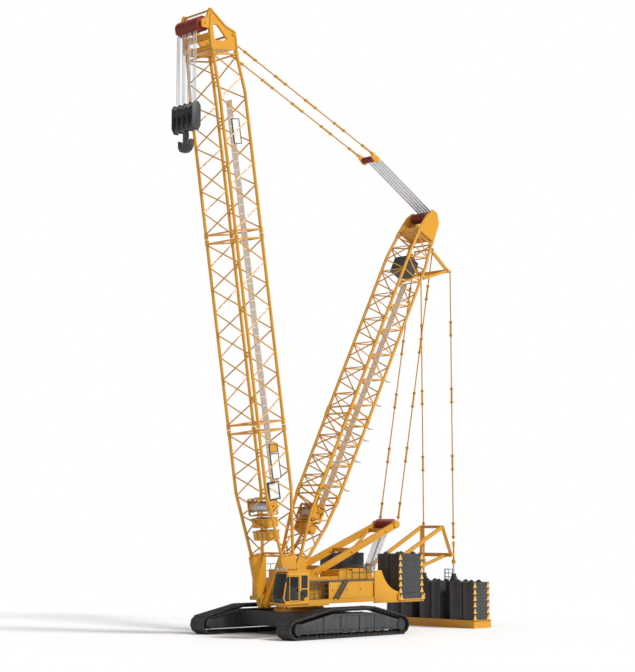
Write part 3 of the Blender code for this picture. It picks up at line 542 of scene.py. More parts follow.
def winch_frame(name, drum, tilt, half, steps, body):
    """Cheeks and cross members round a drum, with closed winch housings below it."""
    lo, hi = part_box(drum)
    start = on_arm(tilt, 0.0, 0.0)
    along = on_arm(tilt, 1.0, 0.0) - start
    across = on_arm(tilt, 0.0, 1.0) - start
    centre = (lo + hi) / 2 - start
    s = centre.dot(along) / along.length_squared
    n = centre.dot(across) / across.length_squared
    size = (hi - lo).z / HALF / 2
    rows = []
    for sy in (1, -1):
        for n0, n1 in ((-1.1, -0.72), (0.72, 1.1)):
            rows.append((s - size * 1.25, s + size * 1.15, n + size * n0, n + size * n1, sy * half,
                         sy * (half + 0.07)))
    rows.append((s + size * 1.12, s + size * 1.30, n - size * 1.1, n + size * 1.1, -half, half))
    rows.append((s - size * 1.40, s - size * 1.25, n - size * 1.1, n + size * 1.1, -half, half))
    for step in steps:
        c = s + step
        rows.append((c - 0.34, c + 0.26, n - 0.46, n + 0.40, -half * 0.92, half * 0.92))
        rows.append((c + 0.26, c + 0.32, n - 0.55, n + 0.50, -half, half))
        for y in (-0.5, 0.0, 0.5):
            rows.append((c - 0.30, c + 0.22, n - 0.52, n + 0.46, y - 0.05, y + 0.05))
    arm_boxes(name, tilt, rows, paints()["yellow"], body, 0.006)


def sign_panel(name, tilt, s0, s1, half, body, paint):
    """A blank framed sheet on the left face, with two ribs behind it."""
    clear_selection()
    block = block_template()
    rows = []
    t = math.radians(tilt)
    turn = Matrix.Rotation(-(t - math.pi / 2), 4, "Y")
    mid = on_arm(tilt, (s0 + s1) / 2, 0.0, BOOM_W - 0.05)
    size = Matrix.Diagonal((half * 2 * HALF, 0.02, (s1 - s0) * HALF, 1.0))
    rows.append((block, Matrix.Translation(mid) @ turn @ size))
    for n in (-half * 0.8, half * 0.8):
        centre = on_arm(tilt, (s0 + s1) / 2, n, BOOM_W - 0.09)
        rib = Matrix.Diagonal((0.03, 0.02, (s1 - s0) * HALF * 0.98, 1.0))
        rows.append((block, Matrix.Translation(centre) @ turn @ rib))
    join_copies(name, rows, paint, body, 0.003)
    discard(block)
    y0, y1 = BOOM_W - 0.09, BOOM_W + 0.01
    edge = [(s0, s0 + 0.05, -half, half, y0, y1), (s1 - 0.05, s1, -half, half, y0, y1),
            (s0, s1, -half, -half + 0.05, y0, y1), (s0, s1, half - 0.05, half, y0, y1)]
    arm_boxes(f"{name}_frame", tilt, edge, paints()["grey"], body, 0.002)


def grating(name, tilt, s0, s1, n_low, n_high, body, node):
    """A walkway of planks on two side rails."""
    tube = tube_template(6)
    block = block_template()
    rows = []
    t = math.radians(tilt)
    turn = Matrix.Rotation(math.pi / 2 - t, 4, "Y")
    for y in (-0.29, 0.29):
        a, b = on_arm(tilt, s0, n_low, y), on_arm(tilt, s1, n_high, y)
        rows.append((tube, between(a, b, 0.016)))
    count = int((s1 - s0) / 0.62)
    pitch = (s1 - s0) / count
    for i in range(count):
        f = (i + 0.5) / count
        mid = on_arm(tilt, s0 + (s1 - s0) * f, n_low + (n_high - n_low) * f)
        size = Matrix.Diagonal((0.024, 0.56 * HALF, pitch * HALF * 0.94, 1.0))
        rows.append((block, Matrix.Translation(mid) @ turn @ size))
    join_copies(name, rows, paints()["tan"], body, 0.004, (node,))
    discard(tube, block)


class CRANE_OT_mast(bpy.types.Operator):
    """Make the mast's tubes, lacing, legs, pendants and walkway"""
    bl_idname = "crane.mast"
    bl_label = "Mast"

    def execute(self, context):
        p = paints()
        lattice("mast_foot", MAST_TILT, MAST_FOOT, 4, "mast", "mast_foot")
        lattice("mast_lower", MAST_TILT, [(8.68, 1.0, -1.0, 1.14), (15.32, 1.0, -1.0, 1.22)], 7, "mast",
                "mast_lower",
                rungs=True)
        lattice("mast_upper", MAST_TILT, MAST_UP, 14, "mast", "mast_upper", rungs=True)
        for side, sy in LEFT_RIGHT:
            ys = sorted((sy * 0.86, sy * 1.12))
            foot_leg(f"mast_leg_{side}", MAST_TILT, ys[0], ys[1], 3.6, 0.50, -0.50, 0.34, "mast")
        grating("mast_grating", MAST_TILT, 7.0, 27.6, -0.68, -0.66, "mast", "mast_walkway")
        paint_nodes(("mast_head", "mast_spreader"), p["yellow"])
        paint_nodes(("mast_winch_box",), p["charcoal"])
        winch_frame("mast_winch_frame", "luffing_drum", MAST_TILT, 0.80, (-1.15,), "mast")
        tube = tube_template(10)
        rows = []
        out = Vector((-0.25, 0, 0))
        for s in (9.8, 12.2, 14.0, 15.0, 17.0, 19.1):
            for sy in (1, -1):
                a, b = on_arm(MAST_TILT, s, -0.98, sy * 1.20), on_arm(MAST_TILT, s, -1.42, sy * 1.20)
                rows += [(tube, between(a, b, 0.030)), (tube, between(b - out * 0.2, b + out * 0.7, 0.022))]
        join_copies("mast_rope_guides", rows, p["steel"], "mast")
        discard(tube)
        top = on_arm(MAST_TILT, 31.2, -1.28)
        link_bars("pendant_bars", at(-9.22, 0, 8.16), top, 0.95, 5, 0.028, "mast", ("mast_pendants",))
        return {"FINISHED"}


def link_bars(name, low, high, y, count, radius, body, nodes):
    """Flat bars pinned end to end, with thicker eyes where they meet."""
    tube = tube_template(10)
    rows = []
    for sign in (1, -1):
        off = Vector((0, sign * y * HALF, 0))
        for i in range(count):
            a = low.lerp(high, i / count) + off
            b = low.lerp(high, (i + 1) / count) + off
            d = (b - a).normalized()
            rows.append((tube, between(a, b, radius, radius * 0.8)))
            rows.append((tube, between(a + d * 0.10, a + d * 0.62, radius * 1.6, radius * 1.2)))
            for p in (a + d * 0.10, a + d * 0.62):
                rows.append((tube, between(p - d * 0.05, p + d * 0.05, radius * 1.9, radius * 1.5)))
                rows.append((tube, between(p - Vector((0, radius * 2.3, 0)), p + Vector((0, radius * 2.3, 0)),
                                           radius * 1.2)))
    reach = Vector((0, (y + 0.08) * HALF, 0))
    rows.append((tube, between(high - reach, high + reach, radius * 1.3)))
    join_copies(name, rows, paints()["yellow"], body, replaces=nodes)
    discard(tube)


# ---- Sheaves and drums -----------------------------------------------------------------------
def sheave_nest(name, node, body, half, count, outer):
    lo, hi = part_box(node)
    centre = (lo + hi) / 2
    width = 2 * half / count
    rows = [(0.09, -half)]
    for i in range(count):
        y = -half + width * i
        rows += [(0.14, y + width * 0.08), (outer * 0.80, y + width * 0.14), (outer, y + width * 0.10),
                 (outer, y + width * 0.22), (outer * 0.84, y + width * 0.42),
                 (outer * 0.84, y + width * 0.58),
                 (outer, y + width * 0.78), (outer, y + width * 0.90), (outer * 0.80, y + width * 0.86),
                 (0.14, y + width * 0.92)]
    rows += [(0.09, half), (0.09, -half)]
    turned(name, centre, rows, paints()["sheave"], body, replaces=(node,), steps=28)


def wound_drum(name, node, body, half, core, flange):
    """A drum: yellow flanges and hub, with rope laid turn beside turn between them."""
    lo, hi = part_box(node)
    centre = (lo + hi) / 2
    shell = [(0.08, -half), (flange, -half), (flange, -half + 0.08), (core - 0.02, -half + 0.10),
             (core - 0.02, half - 0.10), (flange, half - 0.08), (flange, half), (0.08, half), (0.08, -half)]
    turned(name, centre, shell, paints()["yellow"], body, replaces=(node,), steps=28)
    rows = [(core - 0.03, -half + 0.13)]
    turns = int((2 * half - 0.28) / 0.075)
    for i in range(turns):
        y = -half + 0.13 + 0.075 * i
        rows += [(core, y), (core + 0.035, y + 0.02), (core + 0.035, y + 0.055)]
    rows += [(core - 0.03, half - 0.13), (core - 0.03, -half + 0.13)]
    turned(f"{name}_rope", centre, rows, paints()["rope"], body, steps=28)


class CRANE_OT_sheaves(bpy.types.Operator):
    """Make the sheave nests and the winch drums"""
    bl_idname = "crane.sheaves"
    bl_label = "Sheaves and drums"

    def execute(self, context):
        sheave_nest("boom_head_wheels", "boom_sheaves", "boom_head_sheaves", 1.26, 8, 0.54)
        sheave_nest("mast_head_wheels", "mast_sheaves", "mast_head_sheaves", 0.90, 7, 0.415)
        sheave_nest("gantry_wheels", "a_frame_sheaves", "gantry_sheaves", 0.80, 6, 0.41)
        wound_drum("boom_winch_drum", "hoist_drum", "hoist_winch", 1.13, 0.34, 0.45)
        wound_drum("mast_winch_drum", "luffing_drum", "luffing_winch", 0.73, 0.34, 0.45)
        return {"FINISHED"}


# ---- Ropes, stays, hook ----------------------------------------------------------------------
def rope_set(name, node, body, a_end, b_end, width, count):
    """Parallel falls side by side, filling the place of one bar."""
    g = bpy.context.scene.crane_sizes
    tube = tube_template(8)
    rows = []
    for i in range(count):
        off = Vector((0, width * HALF * (i / (count - 1) - 0.5), 0))
        rows.append((tube, between(a_end + off, b_end + off, g.rope_radius)))
    join_copies(name, rows, paints()["rope"], body, replaces=(node,))
    discard(tube)


class CRANE_OT_rigging(bpy.types.Operator):
    """Make the stays, the rope falls and the ballast rods"""
    bl_idname = "crane.rigging"
    bl_label = "Rigging"

    def execute(self, context):
        for i in range(4):
            node = f"hoist_ropes_{i}"
            lo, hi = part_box(node)
            mid = (lo + hi) / 2
            rope_set(f"hoist_falls_rope_{i}", node, f"hoist_falls_{i}", Vector((mid.x, mid.y, lo.z)),
                     Vector((mid.x, mid.y, hi.z)), 0.30, 3)
        for i in range(5):
            node = f"luffing_ropes_{i}"
            lo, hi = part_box(node)
            y = (lo.y + hi.y) / 2
            rope_set(f"luffing_falls_rope_{i}", node, f"luffing_falls_{i}", Vector((lo.x, y, lo.z + 0.02)),
                     Vector((hi.x, y, hi.z - 0.02)), 0.16, 3)
        for node, body in (("gantry_ropes_fixed", "upper"), ("gantry_ropes_moving", "gantry")):
            lo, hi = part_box(node)
            y = (lo.y + hi.y) / 2
            rope_set(f"{node}_falls", node, body, Vector((lo.x, y, hi.z)), Vector((hi.x, y, lo.z)), 0.6, 5)
        stay_top = at(7.89, 0, 42.20)
        block = at(-7.30, 0, 35.80)
        d = (block - stay_top).normalized()
        link_bars("stay_bars", block - d * 0.2, stay_top, 0.72, 5, 0.030, "stays", ())
        floating_block(stay_top, d, (block - stay_top).length)
        rod_top = at(-14.62, 0, 27.55)
        link_bars("ballast_rod_bars", at(-14.74, 0, 6.62), rod_top, 1.57, 4, 0.028, "ballast_rods",
                  ("superlift_rods",))
        return {"FINISHED"}


def floating_block(top, d, length):
    """The block between the stays and the falls: cheek plates round a row of sheaves."""
    p = paints()
    up = Vector((-d.z, 0, d.x))
    if up.z < 0:
        up = -up

    def spot(s, n):
        return top + d * s + up * n
    outline = [spot(length - 0.26, 0.06), spot(length - 0.26, -0.12), spot(length + 0.02, -0.21),
               spot(length + 0.20, -0.14), spot(length + 0.20, 0.045), spot(length + 0.04, 0.07)]
    for side, sy in LEFT_RIGHT:
        plate(f"block_cheek_{side}", outline, sy * 0.66 - 0.05, sy * 0.66 + 0.05, p["yellow"], "stays", 0.006)
    centre = spot(length - 0.02, -0.07)
    rows = [(0.05, -0.6)]
    for i in range(6):
        y = -0.6 + 0.2 * i
        rows += [(0.07, y + 0.01), (0.22, y + 0.03), (0.25, y + 0.02), (0.20, y + 0.1), (0.25, y + 0.18),
                 (0.22, y + 0.17), (0.07, y + 0.19)]
    rows += [(0.05, 0.6), (0.05, -0.6)]
    turned("block_wheels", centre, rows, p["sheave"], "stays", replaces=("boom_stays",),
           steps=24)


class CRANE_OT_hook(bpy.types.Operator):
    """Make the hook block and the double hook"""
    bl_idname = "crane.hook"
    bl_label = "Hook block"

    def execute(self, context):
        p = paints()
        lo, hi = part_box("hook_block")
        x = (lo.x + hi.x) / 2
        body = [Vector((x - 0.19, 0, lo.z + 0.20)), Vector((x - 0.19, 0, hi.z - 0.16)),
                Vector((x - 0.10, 0, hi.z - 0.01)), Vector((x + 0.10, 0, hi.z - 0.01)),
                Vector((x + 0.19, 0, hi.z - 0.16)), Vector((x + 0.19, 0, lo.z + 0.20)),
                Vector((x + 0.09, 0, lo.z + 0.01)), Vector((x - 0.09, 0, lo.z + 0.01))]
        for i in range(5):
            y = -1.12 + i * 0.56
            plate(f"block_plate_{i}", body, y - 0.035, y + 0.035, p["charcoal"], "load_block", 0.006,
                  ("hook_block",) if i == 0 else ())
        mid = Vector((x, 0, hi.z - 0.32))
        rows = [(0.07, -1.1)]
        for i in range(12):
            y = -1.06 + 0.178 * i
            rows += [(0.1, y), (0.36, y + 0.02), (0.30, y + 0.08), (0.36, y + 0.14), (0.1, y + 0.16)]
        rows += [(0.07, 1.1), (0.07, -1.1)]
        turned("block_sheave_row", mid, rows, p["charcoal"], "load_block")
        beam = [Vector((x - 0.11, 0, lo.z + 0.30)), Vector((x + 0.11, 0, lo.z + 0.30)),
                Vector((x + 0.11, 0, lo.z + 0.05)), Vector((x - 0.11, 0, lo.z + 0.05))]
        plate("block_crosshead", beam, -1.05, 1.05, p["charcoal"], "load_block", 0.01)
        paint_nodes(("hook",), p["charcoal"])
        return {"FINISHED"}


# ---- Tracks ----------------------------------------------------------------------------------
TRACK_PATH = [(5.83, 0.62), (5.62, 0.22), (5.16, 0.0), (-5.16, 0.0), (-5.62, 0.22), (-5.83, 0.62),
              (-5.72, 1.05), (-5.36, 1.35), (-2.40, 2.06), (1.80, 2.06), (5.36, 1.35), (5.72, 1.05)]


def walk_path(points, pitch):
    """Places and directions at even steps round a closed outline."""
    legs = []
    total = 0.0
    for i, a in enumerate(points):
        b = points[(i + 1) % len(points)]
        legs.append((total, a, b))
        total += (b - a).length
    count = round(total / pitch)
    out = []
    for k in range(count):
        s = total * (k + 0.5) / count
        base, a, b = [leg for leg in legs if leg[0] <= s][-1]
        d = (b - a).normalized()
        out.append((a + d * (s - base), d))
    return out, total / count


def shoe_pattern(pitch):
    """One shoe: a ribbed plate with two drive lugs inside and a bevelled edge."""
    block = block_template()
    width = SHOE_WIDTH
    parts = [slab((-pitch * 0.47, -width / 2, -0.055), (pitch * 0.47, width / 2, -0.012)),
             slab((-pitch * 0.30, -width / 2 + 0.01, -0.02), (-pitch * 0.12, width / 2 - 0.01, -0.002)),
             slab((pitch * 0.14, -width / 2 + 0.01, -0.02), (pitch * 0.32, width / 2 - 0.01, -0.002))]
    for y in (-0.17, 0.17):
        parts.append(slab((-pitch * 0.42, y - 0.05, -0.13), (pitch * 0.42, y + 0.05, -0.05)))
    obj = join_parts([(block, matrix) for matrix in parts])
    soften(obj, 0.006, 1)
    discard(block)
    return obj


class CRANE_OT_tracks(bpy.types.Operator):
    """Lay the shoes round each track and fit covers, rollers and hubs"""
    bl_idname = "crane.tracks"
    bl_label = "Tracks"

    def execute(self, context):
        p = paints()
        path = [at(x, 0, z) for x, z in TRACK_PATH]
        spots, pitch = walk_path(path, context.scene.crane_sizes.shoe_pitch)
        shoe = shoe_pattern(pitch)
        for side, sy in LEFT_RIGHT:
            rows = []
            for point, d in spots:
                out = Vector((-d.z, 0, d.x))
                if (point - at(0, 0, 1.0)).dot(out) < 0:
                    out = -out
                side_axis = out.cross(d)
                turn = Matrix((d, side_axis, out)).transposed().to_4x4()
                spot = point + Vector((0, sy * TRACK_Y * HALF, 0))
                rows.append((shoe, Matrix.Translation(spot) @ turn))
            join_copies(f"track_shoes_{side}", rows, p["track"], "undercarriage",
                        replaces=(f"track_{side}",))
            self.rollers(side, sy, p)
            self.covers(side, sy, p)
        discard(shoe)
        paint_nodes(("crawler_frame_left", "crawler_frame_right", "car_body"), p["charcoal"])
        paint_nodes(("slew_ring",), p["yellow"])
        return {"FINISHED"}

    def covers(self, side, sy, p):
        """Side plates in three panels that close the loop, with ribs, a top carrier and end discs."""
        block = block_template()
        tube = tube_template(28)
        rows, discs = [], []
        outline = ((5.02, 0.40), (-5.02, 0.40), (-5.20, 0.62), (-5.10, 0.98), (-2.32, 1.66), (1.72, 1.66),
                   (5.10, 0.98), (5.20, 0.62))
        for face, depth in ((5.20, 0.05), (4.00, -0.05)):
            ys = sorted((sy * face, sy * (face + depth)))
            plate(f"track_cover_{side}_{'out' if face > 5 else 'in'}", [at(x, 0, z) for x, z in outline],
                  ys[0], ys[1],
                  p["charcoal"], "undercarriage", 0.006)
        for x in (-2.35, -0.85, 0.95, 2.60):
            top = 1.62 if abs(x) < 2.3 else 1.50
            rows.append((block, slab(at(x - 0.05, sy * 5.24, 0.42), at(x + 0.05, sy * 5.30, top))))
        rows.append((block, slab(at(-4.6, sy * 5.24, 0.42), at(4.6, sy * 5.29, 0.50))))
        rows.append((block, slab(at(-2.2, sy * 5.24, 1.50), at(1.6, sy * 5.28, 1.60))))
        for i in range(16):
            x = -4.4 + 8.8 * i / 15
            discs.append((tube, between(at(x, sy * 5.24, 0.60), at(x, sy * 5.285, 0.60), 0.018)))
        for x in (-5.0, 5.0):
            for r, out in ((0.19, 5.31), (0.16, 5.33), (0.05, 5.34)):
                discs.append((tube, between(at(x, sy * 5.2, 0.70), at(x, sy * out, 0.70), r)))
        join_copies(f"track_ribs_{side}", rows, p["charcoal"], "undercarriage", 0.005)
        join_copies(f"track_discs_{side}", discs, p["track"], "undercarriage", 0.003)
        discard(block, tube)

    def rollers(self, side, sy, p):
        tube = tube_template(16)
        rows = []
        y_out = sy * 5.17
        for i in range(11):
            x = -4.0 + 8.0 * i / 10
            rows.append((tube, between(at(x, sy * 5.05, 0.50), at(x, y_out + sy * 0.03, 0.50), 0.085)))
            rows.append((tube, between(at(x, y_out, 0.50), at(x, y_out + sy * 0.08, 0.50), 0.045)))
        for x in (-1.5, 0.0, 1.5):
            rows.append((tube, between(at(x, sy * 5.05, 1.50), at(x, y_out + sy * 0.05, 1.50), 0.07)))
        for x in (-4.96, 4.96):
            for r, depth in ((0.20, 0.06), (0.13, 0.10), (0.06, 0.13)):
                rows.append((tube, between(at(x, sy * 5.1, 0.72), at(x, sy * (5.22 + depth * 0.9), 0.72), r)))
        join_copies(f"rollers_{side}", rows, p["charcoal"], "undercarriage", 0.0)
        discard(tube)


# ---- Platform, cab and ballast ---------------------------------------------------------------
def boxes(name, rows, paint, body, bevel, replaces=()):
    """Several bevelled blocks, each given by its two full-size corners, as one piece."""
    block = block_template()
    parts = [(block, slab(at(*lo), at(*hi))) for lo, hi in rows]
    obj = join_copies(name, parts, paint, body, bevel, replaces)
    discard(block)
    return obj


def rods(name, rows, paint, body, sides=8, replaces=(), bevel=0.0):
    """Several round bars, each given by its two full-size ends and its radius, as one piece."""
    tube = tube_template(sides)
    parts = [(tube, between(at(*a), at(*b), r)) for a, b, r in rows]
    obj = join_copies(name, parts, paint, body, bevel, replaces)
    discard(tube)
    return obj


def fence(x0, x1, y, z0, z1, posts, mids=1):
    """Rows of bars for a hand rail along X."""
    r = bpy.context.scene.crane_sizes.rail_radius
    rows = []
    for i in range(posts):
        x = x0 + (x1 - x0) * i / (posts - 1)
        rows.append(((x, y, z0), (x, y, z1), r))
    for i in range(mids + 1):
        z = z1 - (z1 - z0) * i / (mids + 1)
        rows.append(((x0, y, z), (x1, y, z), r))
    return rows


WING = ((-3.45, 2.20), (-3.45, 4.36), (-3.62, 4.52), (-4.19, 4.52), (-4.28, 4.28), (-4.42, 4.02),
        (-4.60, 3.74),
        (-4.85, 3.48), (-5.15, 3.25), (-5.52, 3.07), (-5.93, 2.96), (-5.93, 2.78), (-6.10, 2.52),
        (-8.62, 2.52), (-8.62, 2.20))


class CRANE_OT_platform(bpy.types.Operator):
    """Dress the platform, the machinery houses, the railings and the gantry"""
    bl_idname = "crane.platform"
    bl_label = "Platform"

    def execute(self, context):
        p = paints()
        paint_nodes(("slewing_platform", "machinery_house_left", "machinery_house_right", "a_frame",
                     "push_out_frame"), p["yellow"])
        for side, sy in LEFT_RIGHT:
            ys = sorted((sy * 4.02, sy * 4.14))
            plate(f"wing_{side}", [at(x, 0, z) for x, z in WING], ys[0], ys[1], p["yellow"], "upper", 0.008)
        self.walls(p)
        self.walkways(p)
        self.gantry(p)
        return {"FINISHED"}

    def walls(self, p):
        skin = [((-3.44, 3.95, 2.63), (0.95, 4.02, 3.82)), ((-3.5, 3.2, 3.88), (2.5, 3.40, 4.16)),
                ((1.0, 1.8, 2.62), (2.6, 3.38, 3.86)), ((-3.3, 1.9, 4.50), (-2.1, 3.2, 4.66)),
                ((-1.8, 1.9, 4.50), (-0.9, 3.2, 4.60)), ((-3.44, -4.06, 2.63), (0.98, -4.02, 3.82))]
        for i in range(3):
            x = -3.30 + i * 1.40
            skin.append(((x, 4.015, 2.72), (x + 1.30, 4.030, 3.74)))
        for i in range(4):
            x = -3.36 + i * 1.08
            skin.append(((x, -4.075, 2.72), (x + 0.98, -4.055, 3.74)))
        boxes("house_skin", skin, p["yellow"], "upper", 0.006)
        dark = []
        for i in range(3):
            x = -3.30 + i * 1.40
            dark.append(((x + 1.08, 4.025, 3.16), (x + 1.15, 4.045, 3.28)))
        for i in range(4):
            x = -3.36 + i * 1.08
            for j in range(7):
                dark.append(((x + 0.12, -4.085, 2.86 + j * 0.11), (x + 0.86, -4.07, 2.90 + j * 0.11)))
        for j in range(9):
            dark.append(((-8.0 + j * 0.2, -0.6, 3.205), (-7.9 + j * 0.2, 0.6, 3.23)))
        boxes("house_fittings", dark, p["rubber"], "upper", 0.002)
        steps = []
        for i in range(7):
            x, z = 0.42 - 0.13 * i, 2.70 + 0.165 * i
            steps.append(((x - 0.24, 4.04, z), (x + 0.10, 4.16, z + 0.05)))
        boxes("stair_steps", steps, p["charcoal"], "upper", 0.003)
        rods("stair_sides", [((0.56, 4.155, 2.64), (-0.48, 4.155, 3.90), 0.030),
                             ((0.16, 4.155, 2.64), (-0.80, 4.155, 3.84), 0.030)], p["charcoal"], "upper")

    def walkways(self, p):
        rows = [((-3.50, 3.42, 3.84), (2.88, 4.10, 3.90)), ((0.95, 3.46, 2.622), (2.88, 4.09, 2.66)),
                ((-3.50, -4.10, 3.84), (0.98, -3.9, 3.90))]
        for i in range(23):
            x = -3.42 + 0.268 * i
            rows.append(((x, 3.46, 3.90), (x + 0.20, 4.06, 3.915)))
        boxes("walkway_grating", rows, p["grey"], "upper", 0.002)
        near = fence(1.03, 2.87, 4.05, 2.66, 3.70, 5, 2)
        rods("hand_rails", near, p["charcoal"], "upper", replaces=("railing_walkway",))
        high = fence(-3.5, -1.3, 4.05, 3.90, 4.90, 4, 1)
        high += [((-1.3, 4.05, 4.9), (-1.3, 3.45, 4.9), 0.012), ((-1.3, 3.45, 3.9), (-1.3, 3.45, 4.9), 0.012),
                 ((-3.5, 4.05, 4.9), (-3.5, 3.1, 4.9), 0.012), ((-3.5, 3.1, 4.5), (-3.5, 3.1, 4.9), 0.012)]
        high += fence(-3.3, 0.9, -4.02, 3.90, 4.90, 6, 1)
        rods("upper_rails", high, p["charcoal"], "upper")
        tray = fence(-14.9, -14.0, 1.28, 3.47, 4.35, 3, 2)
        tray += [((-14.9, 1.28, z), (-14.9, 0.55, z), 0.010) for z in (3.76, 4.05, 4.35)]
        tray.append(((-14.9, 0.55, 3.47), (-14.9, 0.55, 4.35), 0.010))
        rods("tray_rails", tray, p["charcoal"], "upper")

    def gantry(self, p):
        rows = []
        for sy in (1, -1):
            for f in (0.12, 0.50, 0.88):
                x, z = 0.85 - 9.70 * f, 3.90 + 3.85 * f
                y = sy * (1.30 - 0.32 * f)
                rows.append(((x, y - 0.20, z), (x, y + 0.20, z), 0.045))
            rows.append(((-8.85, sy * 0.84, 7.80), (-8.85, sy * 1.20, 7.80), 0.15))
        rods("gantry_pins", rows, p["yellow"], "gantry", 20, bevel=0.006)


class CRANE_OT_cab(bpy.types.Operator):
    """Dress the cab: enamel, dark panes, roof, lamps, mirror, wiper and seat"""
    bl_idname = "crane.cab"
    bl_label = "Cab"

    def execute(self, context):
        p = paints()
        paint_nodes(("cab_shell", "cab_door"), p["yellow"])
        paint_nodes(("cab_glass_left", "cab_glass_right", "cab_door_glass"), p["glass"])
        paint_nodes(("operator_seat",), p["seat"])
        pane = ((5.422, 2.86), (5.447, 2.86), (5.095, 4.46), (5.070, 4.46))
        plate("front_pane", [at(x, 0, z) for x, z in pane], 3.06, 4.14, p["glass"], "upper", 0.004,
              ("cab_glass_front",))
        low = ((5.195, 2.44), (5.415, 2.81), (5.435, 2.79), (5.215, 2.42))
        plate("low_pane", [at(x, 0, z) for x, z in low], 3.06, 4.14, p["glass"], "upper", 0.003)
        side = ((4.870, 2.60), (5.190, 2.60), (5.310, 2.84), (5.010, 4.28), (4.870, 4.28))
        plate("side_pane", [at(x, 0, z) for x, z in side], 4.201, 4.212, p["glass"], "upper", 0.003)
        rear = ((3.470, 2.60), (3.850, 2.60), (3.850, 3.28), (3.470, 3.06))
        plate("rear_low_pane", [at(x, 0, z) for x, z in rear], 4.202, 4.212, p["glass"], "upper", 0.003)
        boxes("cab_roof", [((2.950, 2.97, 4.58), (5.110, 4.24, 4.67)),
                           ((3.050, 3.10, 4.67), (4.050, 4.10, 4.74)),
                           ((2.980, 4.195, 2.38), (5.170, 4.225, 2.50)),
                           ((3.150, 4.195, 3.36), (3.750, 4.22, 3.44)),
                           ((5.110, 3.0, 2.385), (5.250, 4.2, 2.47))],
              p["yellow"], "upper", 0.008)
        door = ((3.995, 2.64), (4.780, 2.64), (4.780, 4.24), (3.995, 4.24))
        plate("door_pane_outer", [at(x, 0, z) for x, z in door], 4.196, 4.204, p["glass"], "cab_door_leaf",
              0.003)
        rods("door_handle", [((4.070, 4.205, 3.22), (4.070, 4.235, 3.22), 0.012),
                             ((4.070, 4.205, 3.42), (4.070, 4.235, 3.42), 0.012),
                             ((4.070, 4.235, 3.20), (4.070, 4.235, 3.44), 0.012)], p["rubber"],
                             "cab_door_leaf")
        lamps = [((5.010, y, 4.66), (5.150, y + 0.20, 4.82)) for y in (3.08, 3.50, 3.92)]
        boxes("cab_lamps", lamps, p["lamp"], "upper", 0.014)
        rods("cab_fittings", [((5.380, 3.60, 2.92), (5.240, 3.60, 3.75), 0.008),
                              ((5.250, 3.34, 3.72), (5.230, 3.86, 3.76), 0.009),
                              ((4.950, 4.22, 4.40), (5.310, 4.42, 4.30), 0.010),
                              ((5.310, 4.42, 4.32), (5.310, 4.42, 3.86), 0.010),
                              ((5.330, 4.42, 4.22), (5.330, 4.42, 3.90), 0.045)], p["rubber"], "upper",
             10)
        rods("cab_beacon", [((3.300, 3.3, 4.74), (3.300, 3.3, 4.90), 0.045)], p["amber"], "upper",
             16,
             bevel=0.008)
        return {"FINISHED"}


def spike_template():
    """One upright pointed lug, one unit high, standing on the origin."""
    clear_selection()
    bpy.ops.mesh.primitive_cone_add(vertices=4, radius1=1.0, radius2=0.16, depth=1.0, location=(0, 0, 0.5))
    obj = bpy.context.object
    bpy.ops.object.transform_apply(location=True, rotation=False, scale=False)
    return obj


def slab_stack(name, node, y_in, y_out, x0, x1, z0, slabs, height, body, lugged=True, skirt=0.0):
    """A pile of slabs: round columns down the front and back, and pointed lugs down the end."""
    p = paints()
    block, spike, tube = block_template(), spike_template(), tube_template(24)
    out = 1 if y_out > y_in else -1
    rows, lugs, posts = [], [], []
    bulge = 0.27
    end = y_out - out * 0.03
    top = z0 + slabs * height
    seam = 0.004
    for i in range(slabs):
        z = z0 + i * height
        rows.append((block, slab(at(x0 + bulge, y_in, z + seam),
                                 at(x1 - bulge, end - out * 0.1, z + height - seam))))
        rows.append((block, slab(at(x0 + 0.02, end - out * 0.30, z + seam),
                                 at(x1 - 0.02, end, z + height - seam))))
    if skirt:
        rows.append((block, slab(at(x0 + 0.02, end + out * 0.01, z0 - skirt),
                                 at(x1 - 0.02, end + out * 0.09, z0))))
    if lugged:
        count = slabs + (1 if skirt else 0)
        for i in range(count):
            z = z0 + (i - (1 if skirt else 0)) * height
            face = end + out * (0.09 if skirt and i == 0 else 0.0)
            for x in (x0 + 0.17, x1 - 0.17):
                lugs.append((spike, Matrix.Translation(at(x, face + out * 0.015, z + 0.06))
                             @ Matrix.Diagonal((0.095, 0.030, 0.190, 1.0))))
            for x in (x0 + 0.62, x1 - 0.62):
                rows.append((block, slab(at(x - 0.07, face, z + 0.16),
                                         at(x + 0.07, face + out * 0.02, z + 0.24))))
    width = (y_out - y_in) / 2
    for k in (0.5, 1.5):
        y = y_in + width * k
        radius = abs(width) / 2 * HALF * 0.985
        for x in (x0 + bulge, x1 - bulge):
            posts.append((tube, between(at(x, y, z0 + 0.012), at(x, y, top - 0.012), bulge * HALF, radius)))
        for x in (x0 + 0.5, x1 - 0.5):
            posts.append((tube, between(at(x, y, top - 0.02), at(x, y, top + 0.09), 0.10)))
            posts.append((tube, between(at(x, y, top + 0.08), at(x, y, top + 0.16), 0.055)))
    join_copies(name, rows, p["charcoal"], body, 0.005, (node,))
    join_copies(f"{name}_columns", posts, p["charcoal"], body, 0.010)
    if lugged:
        join_copies(f"{name}_lugs", lugs, p["lug"], body, 0.002)
    discard(block, spike, tube)


